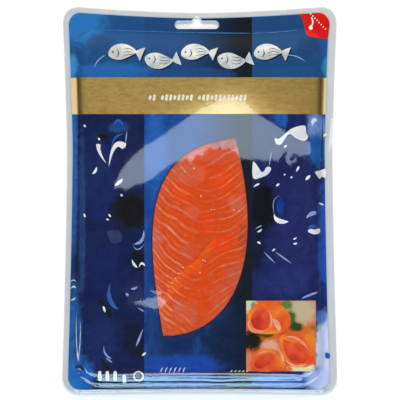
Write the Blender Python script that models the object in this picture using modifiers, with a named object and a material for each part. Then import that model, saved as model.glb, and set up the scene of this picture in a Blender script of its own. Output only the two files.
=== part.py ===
"""A flat vacuum pack of sliced smoked salmon, lying on its back with the printed face up.

A stiff lower film carries the slices. A printed card with a leaf shaped window is drawn down over them, and a clear
film is sealed over the card to the lower film all round. The pack is waisted at its long sides and dips along its top
edge, and a hang slot goes through the flat sealed margin at the top. Units in the constants are millimetres.
"""

import math

import bmesh
import bpy

MM = 0.001

# Outline of the sealed films: a rounded rectangle that is then waisted.
HALF_WIDTH = 98.3
TOP_Y = 138.3
BOTTOM_Y = -138.3
OUTLINE_RADIUS = 11.0
WAIST_HALF_WIDTH = 94.9
WAIST_Y = 36.0
TOP_DIP = 4.3
BOTTOM_DIP = 0.9
DIP_SPAN = 88.0

# Printed card, which stops short of the films all round.
CARD_HALF_WIDTH = 93.1
CARD_TOP_Y = 134.6
CARD_BOTTOM_Y = -136.6
CARD_RADIUS = 9.5

# Where the card leaves the flat margin, and where it reaches the top of the slices.
FOOT_HALF_WIDTH = 90.2
FOOT_TOP_Y = 123.4
FOOT_BOTTOM_Y = -135.0
FOOT_RADIUS_TOP = 16.0
FOOT_RADIUS_BOTTOM = 23.0
CREST_HALF_WIDTH = 84.8
CREST_TOP_Y = 107.6
CREST_BOTTOM_Y = -125.6
CREST_RADIUS_TOP = 12.0
CREST_RADIUS_BOTTOM = 12.0

# Heights.
LOWER_FILM_THICKNESS = 0.5
GAP = 0.3
CARD_THICKNESS = 0.4
CLEAR_FILM_THICKNESS = 0.3
CLEAR_FILM_OUTSET = 0.5
CREST_RISE = 4.6
DOME_RISE = 1.6

LOWER_FILM_COLOUR = (0.62, 0.63, 0.62)
CARD_COLOUR = (0.02, 0.06, 0.19)
CLEAR_FILM_COLOUR = (0.75, 0.76, 0.77)
SALMON_COLOUR = (0.71, 0.1, 0.02)

# Hang slot: a bar with round ends and a small peak over its middle.
SLOT_X = -2.1
SLOT_Y = 125.5
SLOT_WIDTH = 32.0
SLOT_HEIGHT = 6.0
SLOT_PEAK_HEIGHT = 2.4
SLOT_PEAK_BASE = 8.0
SLOT_PEAK_TOP = 3.2

# Leaf shaped window: two tips joined by two arcs, given by their handles.
LEAF_TOP = (25.4, 44.1)
LEAF_BOTTOM = (-26.2, -97.5)
LEAF_LEFT_HANDLES = ((-49.6, 36.7), (-35.9, -37.0))
LEAF_RIGHT_HANDLES = ((47.8, -39.9), (26.5, -97.8))
LEAF_STEPS = 20

# The two slices seen in the window meet along a slanted edge, the lower one lying over the upper one.
OVERLAP_POINT = (-9.2, -50.4)
OVERLAP_ANGLE = math.radians(51.5)
OVERLAP_LEAN = math.radians(30.0)
OVERLAP_HEIGHT = 4.0
TUCKED_DROP = 0.7
SLICE_INSET = 1.2
SLICE_EDGE_DROPS = (1.2, 0.3)

CUTTER_LOW = -5.0
CUTTER_HIGH = 15.0
CUTTER_REACH = 300.0

CORNER_STEPS = 6
SHORT_STEPS = 10
LONG_STEPS = 16
DOME_RINGS = (0.8, 0.55, 0.3, 0.12)
SLOPE_STEPS = 4


def clear_scene():
    """Removes every object of the startup scene."""
    for obj in list(bpy.data.objects):
        bpy.data.objects.remove(obj)


def waisted(x, y):
    """The point of the plain rounded rectangle, moved in where the pack is waisted and where its ends dip."""
    if y > WAIST_Y:
        half = WAIST_HALF_WIDTH + 3.0 * ((y - WAIST_Y) / 91.0) ** 1.3
    else:
        half = WAIST_HALF_WIDTH + 3.4 * ((WAIST_Y - y) / 161.0) ** 1.4
    reach = min(1.0, abs(x) / DIP_SPAN) ** 1.6
    dip = TOP_DIP / TOP_Y if y > 0.0 else BOTTOM_DIP / -BOTTOM_Y
    return x * half / HALF_WIDTH, y * (1.0 - dip * (1.0 - reach))


def ring(half_width, top, bottom, radius_top, radius_bottom, scale=1.0):
    """One closed anticlockwise ring of points, the same in number whatever its size."""
    middle = (top + bottom) / 2.0
    half_width *= scale
    top = middle + (top - middle) * scale
    bottom = middle + (bottom - middle) * scale
    radius_top *= scale
    radius_bottom *= scale
    corners = (
        (half_width - radius_top, top - radius_top, radius_top, 0.0),
        (radius_top - half_width, top - radius_top, radius_top, 90.0),
        (radius_bottom - half_width, bottom + radius_bottom, radius_bottom, 180.0),
        (half_width - radius_bottom, bottom + radius_bottom, radius_bottom, 270.0),
    )
    points = []
    for index, (x, y, radius, start) in enumerate(corners):
        for step in range(CORNER_STEPS + 1):
            angle = math.radians(start + 90.0 * step / CORNER_STEPS)
            points.append((x + radius * math.cos(angle), y + radius * math.sin(angle)))
        end_x, end_y, end_radius, _ = corners[(index + 1) % 4]
        turn = math.radians(start + 90.0)
        last = points[-1]
        following = (end_x + end_radius * math.cos(turn), end_y + end_radius * math.sin(turn))
        steps = SHORT_STEPS if index % 2 == 0 else LONG_STEPS
        for step in range(1, steps):
            part = step / steps
            points.append((last[0] + (following[0] - last[0]) * part, last[1] + (following[1] - last[1]) * part))
    return [waisted(x, y) for x, y in points]


def outline_ring():
    return ring(HALF_WIDTH, TOP_Y, BOTTOM_Y, OUTLINE_RADIUS, OUTLINE_RADIUS)


def card_ring(outset):
    return ring(
        CARD_HALF_WIDTH + outset,
        CARD_TOP_Y + outset,
        CARD_BOTTOM_Y - outset,
        CARD_RADIUS + outset,
        CARD_RADIUS + outset,
    )


def slope_ring(part, outset):
    """A ring between the foot of the raised middle, at 0, and its crest, at 1."""

    def between(foot, crest):
        return foot + (crest - foot) * part

    return ring(
        between(FOOT_HALF_WIDTH, CREST_HALF_WIDTH) + outset,
        between(FOOT_TOP_Y, CREST_TOP_Y) + outset,
        between(FOOT_BOTTOM_Y, CREST_BOTTOM_Y) - outset,
        between(FOOT_RADIUS_TOP, CREST_RADIUS_TOP),
        between(FOOT_RADIUS_BOTTOM, CREST_RADIUS_BOTTOM),
    )


def crest_ring(scale, outset):
    return ring(
        CREST_HALF_WIDTH + outset,
        CREST_TOP_Y + outset,
        CREST_BOTTOM_Y - outset,
        CREST_RADIUS_TOP,
        CREST_RADIUS_BOTTOM,
        scale,
    )


def slope_rise(part):
    """Height above the margin at this part of the slope: rounded out of the flat and over the crest."""
    return CREST_RISE * part * part * (3.0 - 2.0 * part)


def dome_rise(scale):
    """Height over the crest of the ring at this scale of it."""
    return DOME_RISE * (1.0 - scale * scale)


def raised_rings(base, outset=0.0):
    """The rings of the raised middle, from its foot to its centre, with their heights over the given base."""
    rings = []
    for step in range(SLOPE_STEPS + 1):
        part = step / SLOPE_STEPS
        rings.append((slope_ring(part, outset), base + slope_rise(part)))
    for scale in DOME_RINGS:
        rings.append((crest_ring(scale, outset), base + CREST_RISE + dome_rise(scale)))
    return rings


def add_rings(mesh, rings):
    return [[mesh.verts.new((x * MM, y * MM, z * MM)) for x, y in points] for points, z in rings]


def skin(mesh, rings):
    """Joins each ring to the next with faces, and the last one to a point at its middle."""
    for outer, inner in zip(rings, rings[1:]):
        for index in range(len(outer)):
            after = (index + 1) % len(outer)
            mesh.faces.new((outer[index], outer[after], inner[after], inner[index]))
    last = rings[-1]
    centre = mesh.verts.new(sum((vert.co for vert in last), last[0].co * 0.0) / len(last))
    for index in range(len(last)):
        mesh.faces.new((last[index], last[(index + 1) % len(last)], centre))


def finish(mesh, name, collection, colour=None, roughness=0.4):
    """Makes an object of the mesh, with a material of its own, or a cutter where no colour is given."""
    data = bpy.data.meshes.new(name)
    mesh.to_mesh(data)
    mesh.free()
    obj = bpy.data.objects.new(name, data)
    collection.objects.link(obj)
    if colour:
        material = bpy.data.materials.new(name)
        material.use_nodes = True
        shader = material.node_tree.nodes["Principled BSDF"]
        shader.inputs["Base Color"].default_value = (*colour, 1.0)
        shader.inputs["Roughness"].default_value = roughness
        data.materials.append(material)
        for polygon in data.polygons:
            polygon.use_smooth = True
    else:
        obj.display_type = "WIRE"
        obj.hide_render = True
    return obj


def shell(name, rings, thickness, collection, colour, roughness):
    """A thin formed sheet: the rings give its underside, and it is thickened upwards."""
    mesh = bmesh.new()
    skin(mesh, add_rings(mesh, rings))
    obj = finish(mesh, name, collection, colour, roughness)
    modifier = obj.modifiers.new("thickness", "SOLIDIFY")
    modifier.thickness = thickness * MM
    modifier.offset = 1.0
    return obj


def mound(name, rings, floor, collection, colour, roughness):
    """A solid with a flat underside at the floor height and a top given by rings."""
    mesh = bmesh.new()
    lower = add_rings(mesh, [(rings[0][0], floor)])
    skin(mesh, lower + add_rings(mesh, rings))
    mesh.faces.new(reversed(lower[0]))
    return finish(mesh, name, collection, colour, roughness)


def prism(name, points, low, high, collection, colour=None, roughness=0.4):
    """A plate or a cutter with this anticlockwise outline, standing from low to high."""
    mesh = bmesh.new()
    base = mesh.faces.new([mesh.verts.new((x * MM, y * MM, low * MM)) for x, y in points])
    made = bmesh.ops.extrude_face_region(mesh, geom=[base])["geom"]
    verts = [item for item in made if isinstance(item, bmesh.types.BMVert)]
    bmesh.ops.translate(mesh, verts=verts, vec=(0.0, 0.0, (high - low) * MM))
    bmesh.ops.recalc_face_normals(mesh, faces=mesh.faces)
    return finish(mesh, name, collection, colour, roughness)


def slot_outline():
    """The hang slot, anticlockwise from the middle of its right end."""
    radius = SLOT_HEIGHT / 2.0
    reach = SLOT_WIDTH / 2.0 - radius
    points = []
    for step in range(9):
        angle = math.radians(-90.0 + 180.0 * step / 8)
        points.append((SLOT_X + reach + radius * math.cos(angle), SLOT_Y + radius * math.sin(angle)))
    top = SLOT_Y + radius
    points.append((SLOT_X + SLOT_PEAK_BASE / 2.0, top))
    points.append((SLOT_X + SLOT_PEAK_TOP / 2.0, top + SLOT_PEAK_HEIGHT))
    points.append((SLOT_X - SLOT_PEAK_TOP / 2.0, top + SLOT_PEAK_HEIGHT))
    points.append((SLOT_X - SLOT_PEAK_BASE / 2.0, top))
    for step in range(9):
        angle = math.radians(90.0 + 180.0 * step / 8)
        points.append((SLOT_X - reach + radius * math.cos(angle), SLOT_Y + radius * math.sin(angle)))
    return points


def arc(start, handles, end):
    """Points along one side of the leaf, without its last."""
    points = []
    for step in range(LEAF_STEPS):
        t = step / LEAF_STEPS
        weights = ((1 - t) ** 3, 3 * t * (1 - t) ** 2, 3 * t * t * (1 - t), t**3)
        knots = (start, handles[0], handles[1], end)
        points.append(tuple(sum(w * knot[axis] for w, knot in zip(weights, knots)) for axis in (0, 1)))
    return points


def leaf_outline():
    back = (LEAF_RIGHT_HANDLES[1], LEAF_RIGHT_HANDLES[0])
    return arc(LEAF_TOP, LEAF_LEFT_HANDLES, LEAF_BOTTOM) + arc(LEAF_BOTTOM, back, LEAF_TOP)


def half_space(name, side, collection):
    """A large block on one side of the slanted plane where the slices meet, half a gap away from it."""
    along = (math.cos(OVERLAP_ANGLE), math.sin(OVERLAP_ANGLE))
    across = (along[1] * side, -along[0] * side)
    lean = math.tan(OVERLAP_LEAN) * side
    mesh = bmesh.new()
    bmesh.ops.create_cube(mesh, size=1.0)
    for vert in mesh.verts:
        z = CUTTER_LOW if vert.co.z < 0.0 else CUTTER_HIGH
        near = GAP / 2.0 / math.cos(OVERLAP_LEAN) - lean * (z - OVERLAP_HEIGHT)
        length = math.copysign(CUTTER_REACH, vert.co.x)
        width = near if vert.co.y < 0.0 else CUTTER_REACH
        x = OVERLAP_POINT[0] + along[0] * length + across[0] * width
        y = OVERLAP_POINT[1] + along[1] * length + across[1] * width
        vert.co = (x * MM, y * MM, z * MM)
    mesh.normal_update()
    bmesh.ops.recalc_face_normals(mesh, faces=mesh.faces)
    return finish(mesh, name, collection)


def boolean(obj, cutter, operation):
    modifier = obj.modifiers.new(cutter.name, "BOOLEAN")
    modifier.operation = operation
    modifier.solver = "EXACT"
    modifier.object = cutter


def build():
    clear_scene()
    scene = bpy.context.scene
    parts = bpy.data.collections.new("smoked_salmon_pack")
    cutters = bpy.data.collections.new("cutters")
    scene.collection.children.link(parts)
    scene.collection.children.link(cutters)
    cutters.hide_render = True

    slot = prism("slot_cutter", slot_outline(), CUTTER_LOW, CUTTER_HIGH, cutters)
    leaf = prism("leaf_cutter", leaf_outline(), CUTTER_LOW, CUTTER_HIGH, cutters)

    outline = outline_ring()
    lower = prism("lower_film", outline, 0.0, LOWER_FILM_THICKNESS, parts, LOWER_FILM_COLOUR, 0.35)
    boolean(lower, slot, "DIFFERENCE")

    card_base = LOWER_FILM_THICKNESS + GAP
    card_rings = [(card_ring(0.0), card_base)] + raised_rings(card_base)
    card = shell("printed_card", card_rings, CARD_THICKNESS, parts, CARD_COLOUR, 0.4)
    boolean(card, slot, "DIFFERENCE")
    boolean(card, leaf, "DIFFERENCE")

    film_base = card_base + CARD_THICKNESS + GAP
    film_rings = [
        (outline, card_base),
        (card_ring(2.0 * CLEAR_FILM_OUTSET), card_base),
        (card_ring(CLEAR_FILM_OUTSET), film_base),
    ]
    film_rings += raised_rings(film_base, CLEAR_FILM_OUTSET)
    film = shell("clear_film", film_rings, CLEAR_FILM_THICKNESS, parts, CLEAR_FILM_COLOUR, 0.12)
    boolean(film, slot, "DIFFERENCE")

    for name, side, drop in (("upper_slice", -1.0, TUCKED_DROP), ("lower_slice", 1.0, 0.0)):
        top = card_base + CREST_RISE - GAP - drop
        first, second = SLICE_EDGE_DROPS
        rings = [(crest_ring(1.0, -SLICE_INSET), top - first), (crest_ring(0.97, -SLICE_INSET), top - second)]
        rings += [(crest_ring(scale, 0.0), top + dome_rise(scale)) for scale in DOME_RINGS]
        body = mound(name, rings, card_base, parts, SALMON_COLOUR, 0.3)
        boolean(body, half_space(name + "_half", side, cutters), "INTERSECT")


build()
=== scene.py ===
"""A pack of sliced smoked salmon: its films, its printed card, the fish in its window and the stage."""

import math

import bpy
import numpy as np
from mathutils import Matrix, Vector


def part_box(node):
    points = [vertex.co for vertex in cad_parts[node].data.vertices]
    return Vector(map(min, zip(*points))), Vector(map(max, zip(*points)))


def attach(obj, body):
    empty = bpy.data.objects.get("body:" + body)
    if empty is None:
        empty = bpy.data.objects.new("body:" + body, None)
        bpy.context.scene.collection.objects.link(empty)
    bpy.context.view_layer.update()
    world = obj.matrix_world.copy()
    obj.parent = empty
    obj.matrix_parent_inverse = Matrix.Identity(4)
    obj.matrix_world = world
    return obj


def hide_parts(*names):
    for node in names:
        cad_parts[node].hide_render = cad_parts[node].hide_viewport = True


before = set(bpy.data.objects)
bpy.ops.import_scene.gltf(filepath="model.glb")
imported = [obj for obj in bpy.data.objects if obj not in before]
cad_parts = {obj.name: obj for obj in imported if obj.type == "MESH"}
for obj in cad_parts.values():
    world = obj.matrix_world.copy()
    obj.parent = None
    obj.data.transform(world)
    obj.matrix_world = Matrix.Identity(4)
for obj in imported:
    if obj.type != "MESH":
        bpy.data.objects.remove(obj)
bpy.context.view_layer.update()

bl_info = {
    "name": "Smoked Salmon Pack",
    "version": (1, 0, 0),
    "blender": (4, 5, 0),
    "location": "3D View > Sidebar > Salmon Pack",
    "description": "Builds the films, the printed card and the slices of a flat pack of smoked salmon",
    "category": "Object",
}

MM = 0.001
FILM_LOW, FILM_HIGH = (tuple(corner / MM for corner in corners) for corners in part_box("lower_film"))

# The waist of the long sides and the dip of the ends, in millimetres.
WAIST_Y = 36.0
WAIST_PINCH = 3.4
WAIST_TOP_FLARE = 3.0
WAIST_TOP_REACH = 91.0
WAIST_TOP_POWER = 1.3
WAIST_BOTTOM_FLARE = 3.4
WAIST_BOTTOM_REACH = 161.0
WAIST_BOTTOM_POWER = 1.4
DIP_SPAN = 88.0
DIP_POWER = 1.6
TOP_DIP = 4.3
BOTTOM_DIP = 0.9

HALF_WIDTH = FILM_HIGH[0]
TOP_Y = FILM_HIGH[1]
BOTTOM_Y = FILM_LOW[1]

# Each outline as its half width, top, bottom, and the radii of its upper and lower corners. The foot
# and the crest are where the raised middle starts and where it levels out. The card's own middle lies a
# little to the left.
OUTLINE = (HALF_WIDTH, TOP_Y, BOTTOM_Y, 11.0, 11.0)
CARD = (93.9, 134.6, -136.6, 9.5, 9.5)
CARD_X = -0.8
FOOT = (90.2, 123.4, -135.0, 16.0, 23.0)
CREST = (84.8, 107.6, -125.6, 12.0, 12.0)
CONTENTS = (83.6, 106.4, -124.4, 12.0, 12.0)
ROUNDING = 0.2
LOWER_FILM_GRID = 4.0
SLICE_GRID = 1.5
# How far outside the card's edge the clear film comes down to the lower film.
CARD_EDGE_FALL = 1.4

# Print: where its panels and its gold band start and end, in millimetres.
LEFT_PANEL_X = -39.6
RIGHT_PANEL_X = 37.4
BAND_BOTTOM_Y = 61.3
BAND_TOP_Y = 87.4

LEAF_TOP = (25.4, 44.1)
LEAF_BOTTOM = (-26.2, -97.5)
LEAF_LEFT_HANDLES = ((-49.6, 36.7), (-35.9, -37.0))
LEAF_RIGHT_HANDLES = ((47.8, -39.9), (26.5, -97.8))
LEAF_STEPS = 48

SLOT_X = -2.1
SLOT_Y = 125.5
SLOT_PEAK_HEIGHT = 2.4
SLOT_PEAK_BASE = 8.0
SLOT_PEAK_TOP = 3.2

# The edge of the slice that lies on top, as points that its curve passes.
OVERLAP_EDGE = (
    (-86.0, -130.0), (-38.0, -90.0), (-24.5, -67.0), (-15.0, -53.5), (-2.5, -42.5), (8.0, -30.0),
    (18.0, -24.0),
)
OVERLAP_FAR = ((40.0, -2.0), (90.0, 40.0))
# How far, and which way, the slice below reaches under that edge, and a distance well outside the pack.
TUCK = 10.0
TUCK_WAY = (0.62, -0.78)
OUT = 200.0

# Drops and glints of the water print, and painted highlights and painted shade of the film on the steps, at
# its folds and along the foot of the raised middle. Each is a start, a middle, an end and a width, in
# millimetres.
WHITE_GLINTS = (
    ((-77.0, 18.5), (-75.0, 20.0), (-73.5, 23.5), 1.8),
    ((-83.0, 53.5), (-82.5, 53.0), (-81.5, 52.0), 1.7),
    ((-61.0, 10.0), (-58.0, 12.0), (-55.0, 15.0), 2.4),
    ((-84.0, -1.0), (-84.0, -2.5), (-83.5, -4.5), 1.2),
    ((-82.5, -9.5), (-82.5, -11.0), (-81.5, -12.5), 1.5),
    ((-86.5, -33.0), (-86.5, -31.0), (-85.0, -28.0), 1.3),
    ((-48.5, -42.5), (-47.0, -46.0), (-44.5, -48.5), 1.8),
    ((-43.5, -48.5), (-41.5, -45.5), (-39.0, -47.5), 1.6),
    ((-69.0, -76.0), (-68.5, -77.5), (-67.5, -80.5), 1.7),
    ((-41.5, -111.5), (-40.0, -110.5), (-38.5, -109.0), 1.6),
    ((60.5, 37.0), (61.0, 38.0), (62.5, 39.0), 1.5),
    ((69.0, 20.0), (70.0, 22.0), (71.0, 24.0), 1.6),
    ((75.5, 14.0), (77.0, 15.5), (79.0, 17.5), 2.1),
    ((85.0, 25.0), (86.5, 28.0), (87.5, 30.5), 1.2),
    ((38.5, 9.0), (40.5, 10.5), (43.0, 11.5), 1.4),
    ((54.5, 9.5), (55.5, 10.5), (57.0, 11.5), 1.5),
    ((88.5, 45.0), (90.0, 46.5), (91.0, 47.0), 1.8),
    ((41.0, -23.0), (42.5, -22.5), (44.5, -21.0), 1.3),
    ((41.0, -30.0), (42.0, -30.5), (43.5, -31.5), 1.6),
    ((67.0, -28.5), (67.5, -28.0), (69.5, -27.0), 1.2),
    ((66.5, -31.0), (68.0, -31.5), (69.5, -30.5), 1.3),
    ((53.2, -10.0), (56.0, -14.8), (63.5, -15.6), 3.4),
    ((52.0, -37.0), (52.5, -36.0), (54.0, -35.0), 1.2),
    ((-56.0, 4.0), (-56.0, 3.5), (-55.0, 2.5), 1.5),
    ((-72.5, 44.5), (-72.0, 43.5), (-71.5, 42.5), 1.3),
    ((65.0, 16.5), (65.5, 16.0), (66.0, 15.5), 1.5),
    ((60.0, 18.5), (60.5, 18.0), (61.0, 17.5), 1.2),
    ((-65.0, -10.0), (-64.5, -11.0), (-63.5, -12.5), 1.3),
    ((-67.0, -14.0), (-66.0, -14.0), (-65.0, -14.5), 1.2),
    ((80.5, 53.0), (81.5, 56.5), (85.5, 57.0), 3.0),
)
COMMA_GLINTS = (
    ((-53.2, 37.4), (-60.5, 38.2), (-65.0, 23.5), 5.0),
    ((-72.2, 40.0), (-71.5, 34.0), (-66.8, 26.0), 3.4),
)
PALE_PRINT_GLINTS_AND_PAINTED_CREST_HIGHLIGHTS = (
    ((-52.0, 49.5), (-52.5, 45.0), (-53.0, 40.0), 0.8),
    ((-40.0, -21.5), (-41.5, -29.0), (-47.0, -31.5), 2.3),
    ((-48.0, -31.5), (-44.5, -35.5), (-39.5, -31.5), 0.7),
    ((-68.5, -104.0), (-67.5, -110.0), (-63.0, -113.5), 1.3),
    ((-67.5, -113.0), (-65.0, -114.5), (-62.5, -116.5), 1.1),
    ((-40.5, -92.0), (-43.0, -98.5), (-45.5, -105.0), 1.5),
    ((-49.5, -63.5), (-47.0, -63.5), (-44.5, -62.0), 1.6),
    ((-53.0, -67.0), (-52.0, -67.5), (-51.0, -69.0), 1.9),
    ((-44.5, -77.0), (-42.0, -78.5), (-39.8, -80.0), 1.0),
    ((51.5, 35.0), (50.5, 30.0), (49.5, 24.0), 0.8),
    ((76.0, -13.5), (80.0, -10.0), (85.5, -9.5), 3.0),
    ((45.5, -37.0), (49.0, -40.5), (54.0, -45.5), 0.8),
    ((53.5, -37.0), (58.5, -40.5), (65.5, -45.5), 1.1),
    ((72.5, -71.0), (77.5, -68.5), (86.5, -65.5), 1.6),
    ((39.5, -21.0), (42.0, -19.5), (44.5, -18.5), 0.8),
    ((58.0, 2.8), (52.9, -1.0), (53.4, -11.0), 0.6),
    # The last two are painted highlights along the upper corners of the crest.
    ((-75.3, 94.0), (-72.6, 99.6), (-67.0, 103.6), 0.8),
    ((59.7, 103.3), (68.5, 102.6), (75.5, 98.5), 0.8),
)
BRIGHT_SHAPES = (
    ((-63.5, -58.5), (-64.5, -70.5), (-58.0, -78.5), 3.3),
    ((77.0, -20.5), (80.5, -19.0), (85.0, -20.5), 2.4),
    ((-62.0, 52.0), (-58.5, 56.5), (-54.5, 53.0), 2.2),
    ((-63.0, 35.0), (-60.5, 44.0), (-53.5, 47.0), 1.4),
    ((90.0, -109.5), (91.4, -111.5), (92.4, -114.0), 4.0),
)
FAINT_BUBBLES = (
    ((-66.0, -22.5), (-61.0, -26.0), (-56.0, -29.5), 10.0),
)
DARK_SHAPES = (
    ((-73.0, 47.0), (-69.5, 45.0), (-64.5, 45.0), 4.0),
    ((-72.5, -71.0), (-67.5, -77.0), (-63.0, -85.5), 3.6),
    ((-71.0, -112.0), (-68.0, -118.0), (-63.5, -123.0), 3.2),
    ((-49.5, -39.0), (-44.5, -37.5), (-39.8, -39.5), 3.6),
    ((-48.0, -106.5), (-44.5, -109.0), (-40.5, -108.0), 3.4),
)
# Painted shade: a fold of the film at the lower left corner, and dark lines down the left and right steps.
PAINTED_FOLD_AND_STEP_SHADE = (
    ((-89.8, -121.0), (-86.5, -119.6), (-83.0, -122.2), 3.4),
    ((-86.8, -20.0), (-86.9, -42.0), (-87.6, -64.0), 1.2),
    ((88.2, 60.0), (87.6, 36.0), (86.8, 12.0), 1.0),
)
# Painted highlights of the film on the left step and at the lower left fold, and a few glints of the print
# near the edges, laid high so they show over the bends.
PRINT_GLINTS_AND_PAINTED_STEP_HIGHLIGHTS = (
    ((85.2, -2.0), (87.0, -3.0), (89.0, -3.6), 1.5),
    ((-88.2, -80.0), (-88.4, -98.0), (-87.2, -114.0), 0.6),
    ((-85.4, -86.0), (-85.6, -101.0), (-86.9, -115.0), 0.6),
    ((-88.0, -107.0), (-87.2, -112.0), (-86.8, -115.5), 1.6),
    ((-87.6, -121.0), (-86.2, -121.2), (-84.6, -121.8), 0.7),
    ((-92.6, -59.0), (-90.6, -57.6), (-88.8, -58.6), 0.6),
    ((-92.4, -64.0), (-90.6, -62.2), (-88.8, -63.4), 1.0),
    ((-92.6, -72.0), (-90.6, -71.4), (-88.6, -70.0), 1.2),
)
# Painted highlights along the foot of the slope at the top of the pack.
PAINTED_FOOT_HIGHLIGHTS = (
    ((-88.8, 112.9), (-84.5, 119.0), (-74.7, 121.9), 0.8),
    ((-74.7, 121.9), (-20.0, 120.2), (37.3, 119.3), 0.6),
    ((37.3, 119.3), (56.0, 120.2), (70.5, 121.8), 0.6),
)

# The larger drops of the print, as outlines.
CREAM_DROPS = (
    (
        (53.5, 44.0), (56.0, 43.5), (58.5, 45.0), (62.5, 48.5), (67.0, 51.5), (75.0, 53.0), (76.0, 48.0),
        (77.5, 44.5), (74.5, 42.0), (69.0, 44.0), (64.0, 47.0), (60.5, 43.0), (58.0, 39.5), (54.5, 40.0),
    ),
    (
        (38.0, 27.0), (41.0, 24.5), (43.5, 20.5), (45.5, 20.0), (48.0, 23.5), (51.0, 22.5), (49.0, 18.5),
        (44.0, 16.0), (38.0, 15.5),
    ),
    (
        (77.2, -22.6), (79.0, -20.8), (82.0, -21.3), (85.6, -20.6), (86.2, -23.0), (84.0, -24.6),
        (80.4, -24.4),
    ),
    (
        (82.5, 20.0), (86.5, 21.0), (90.0, 22.0), (90.2, 16.0), (87.5, 16.5), (86.0, 15.0), (84.0, 17.0),
    ),
)

# Soft fields of the water print, with some painted reflection and a painted lit band on the steps among them:
# middle, half width, half height, colour and strength.
SIDE_FIELDS = (
    ((-72.0, 14.0), 16.0, 40.0, "#1f2e66", 0.8),
    ((-50.0, -8.0), 17.0, 17.0, "#17181c", 1.0),
    ((-50.0, 22.0), 14.0, 12.0, "#1f2450", 0.7),
    ((-44.0, -44.0), 8.0, 8.0, "#15161c", 0.9),
    ((-66.0, -50.0), 18.0, 22.0, "#16265c", 0.9),
    ((-72.0, -102.0), 16.0, 24.0, "#1a3268", 0.8),
    ((-47.0, -100.0), 9.0, 18.0, "#171a2c", 0.8),
    ((-90.0, -96.0), 6.5, 46.0, "#2a68a8", 0.9),
    ((-91.5, 6.0), 5.6, 62.0, "#3262a4", 0.95),
    ((-91.5, 52.0), 5.0, 16.0, "#2a6cb0", 0.9),
    ((-46.0, -68.0), 9.0, 12.0, "#2c3a6c", 0.6),
    ((-58.0, 52.0), 9.0, 5.0, "#264f92", 0.8),
    ((44.5, -6.0), 14.0, 22.0, "#101016", 1.0),
    ((40.0, -34.0), 9.0, 22.0, "#161830", 0.8),
    ((60.0, 58.0), 13.0, 8.0, "#2460b4", 0.9),
    ((46.0, 52.0), 12.0, 14.0, "#26346c", 0.8),
    ((65.0, 55.0), 4.0, 10.0, "#10205c", 0.9),
    ((77.5, 52.0), 3.6, 10.0, "#12226a", 0.9),
    ((84.0, 52.0), 9.0, 12.0, "#88a8dc", 0.9),
    ((84.0, 36.0), 8.0, 16.0, "#2468b0", 0.9),
    ((70.0, 56.0), 9.0, 6.0, "#1a2260", 0.8),
    ((72.0, -25.0), 20.0, 40.0, "#262f6c", 0.8),
    ((57.6, -5.0), 3.8, 7.0, "#1f4498", 1.0),
    ((61.0, -7.6), 2.2, 4.6, "#1c2054", 0.8),
    ((89.5, -26.0), 6.0, 52.0, "#2a58b4", 0.9),
    ((62.0, -58.0), 22.0, 14.0, "#2a3678", 0.7),
    # Painted reflection: a pale lavender sheen of the film over the lower right flange.
    ((89.8, -108.0), 9.2, 33.0, "#d6daf4", 1.0),
    ((87.0, -84.0), 5.0, 7.0, "#4a80cc", 0.8),
    ((85.5, -75.5), 5.0, 5.0, "#1c3270", 1.0),
    ((62.0, -130.0), 30.0, 7.0, "#3a68b8", 0.9),
    # Painted reflection of the film at the lower right corner.
    ((86.0, -129.0), 13.0, 12.0, "#c8d0f2", 1.0),
    ((-87.0, -127.0), 15.0, 16.0, "#2a74be", 1.0),
    # A painted lit band down the left step.
    ((-84.2, -10.0), 3.2, 72.0, "#2f4c86", 0.9),
)

TOP_FIELDS = (
    ((-88.0, 128.0), 26.0, 22.0, "#2a7cc0", 0.9),
    ((-66.0, 92.0), 40.0, 7.0, "#276ab0", 0.9),
    ((0.0, 90.0), 34.0, 5.0, "#24508c", 0.6),
    ((-72.0, 112.0), 12.0, 9.0, "#1c406e", 0.6),
    ((78.0, 110.0), 10.0, 8.0, "#1a3c66", 0.6),
    ((66.0, 91.0), 26.0, 6.0, "#1f5488", 0.8),
    ((-91.0, 96.0), 5.0, 10.0, "#3e90cc", 0.9),
    ((91.5, 95.5), 5.0, 8.0, "#2f8cbc", 0.9),
)
MIDDLE_FIELDS = (
    ((-18.0, -92.0), 24.0, 42.0, "#132c56", 0.85),
    ((-34.0, -80.0), 8.0, 60.0, "#1e4480", 0.8),
    ((20.0, -102.0), 22.0, 26.0, "#122440", 0.8),
    ((-12.0, -118.0), 34.0, 9.0, "#1c50b0", 0.8),
    ((-32.0, 34.0), 11.0, 36.0, "#2868b8", 0.9),
)

PICTURE_FIELDS = (
    ((73.0, -80.0), 14.0, 12.0, "#cbb592", 1.0),
    ((35.5, -75.5), 6.5, 7.0, "#d4d6b0", 1.0),
    ((38.5, -75.5), 2.6, 3.0, "#5a7a3a", 0.8),
    ((37.5, -100.6), 9.5, 9.5, "#191c0e", 1.0),
    ((47.5, -95.6), 6.5, 4.0, "#2c4a18", 1.0),
    ((61.5, -75.0), 5.5, 4.0, "#5f8430", 1.0),
    ((65.0, -84.5), 5.0, 7.0, "#3c6a22", 1.0),
    ((69.0, -90.8), 6.0, 4.4, "#2c4a1c", 1.0),
    ((81.0, -91.5), 2.6, 2.0, "#5a7a34", 0.8),
    ((75.0, -121.5), 13.0, 5.0, "#efe2b4", 1.0),
    ((50.4, -104.6), 8.0, 5.5, "#e9a890", 1.0),
    ((35.0, -116.0), 4.0, 8.0, "#d88868", 0.9),
    ((80.0, -104.0), 4.0, 12.0, "#dd9030", 0.9),
    ((60.0, -96.0), 5.0, 4.0, "#dc5224", 0.9),
)

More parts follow.
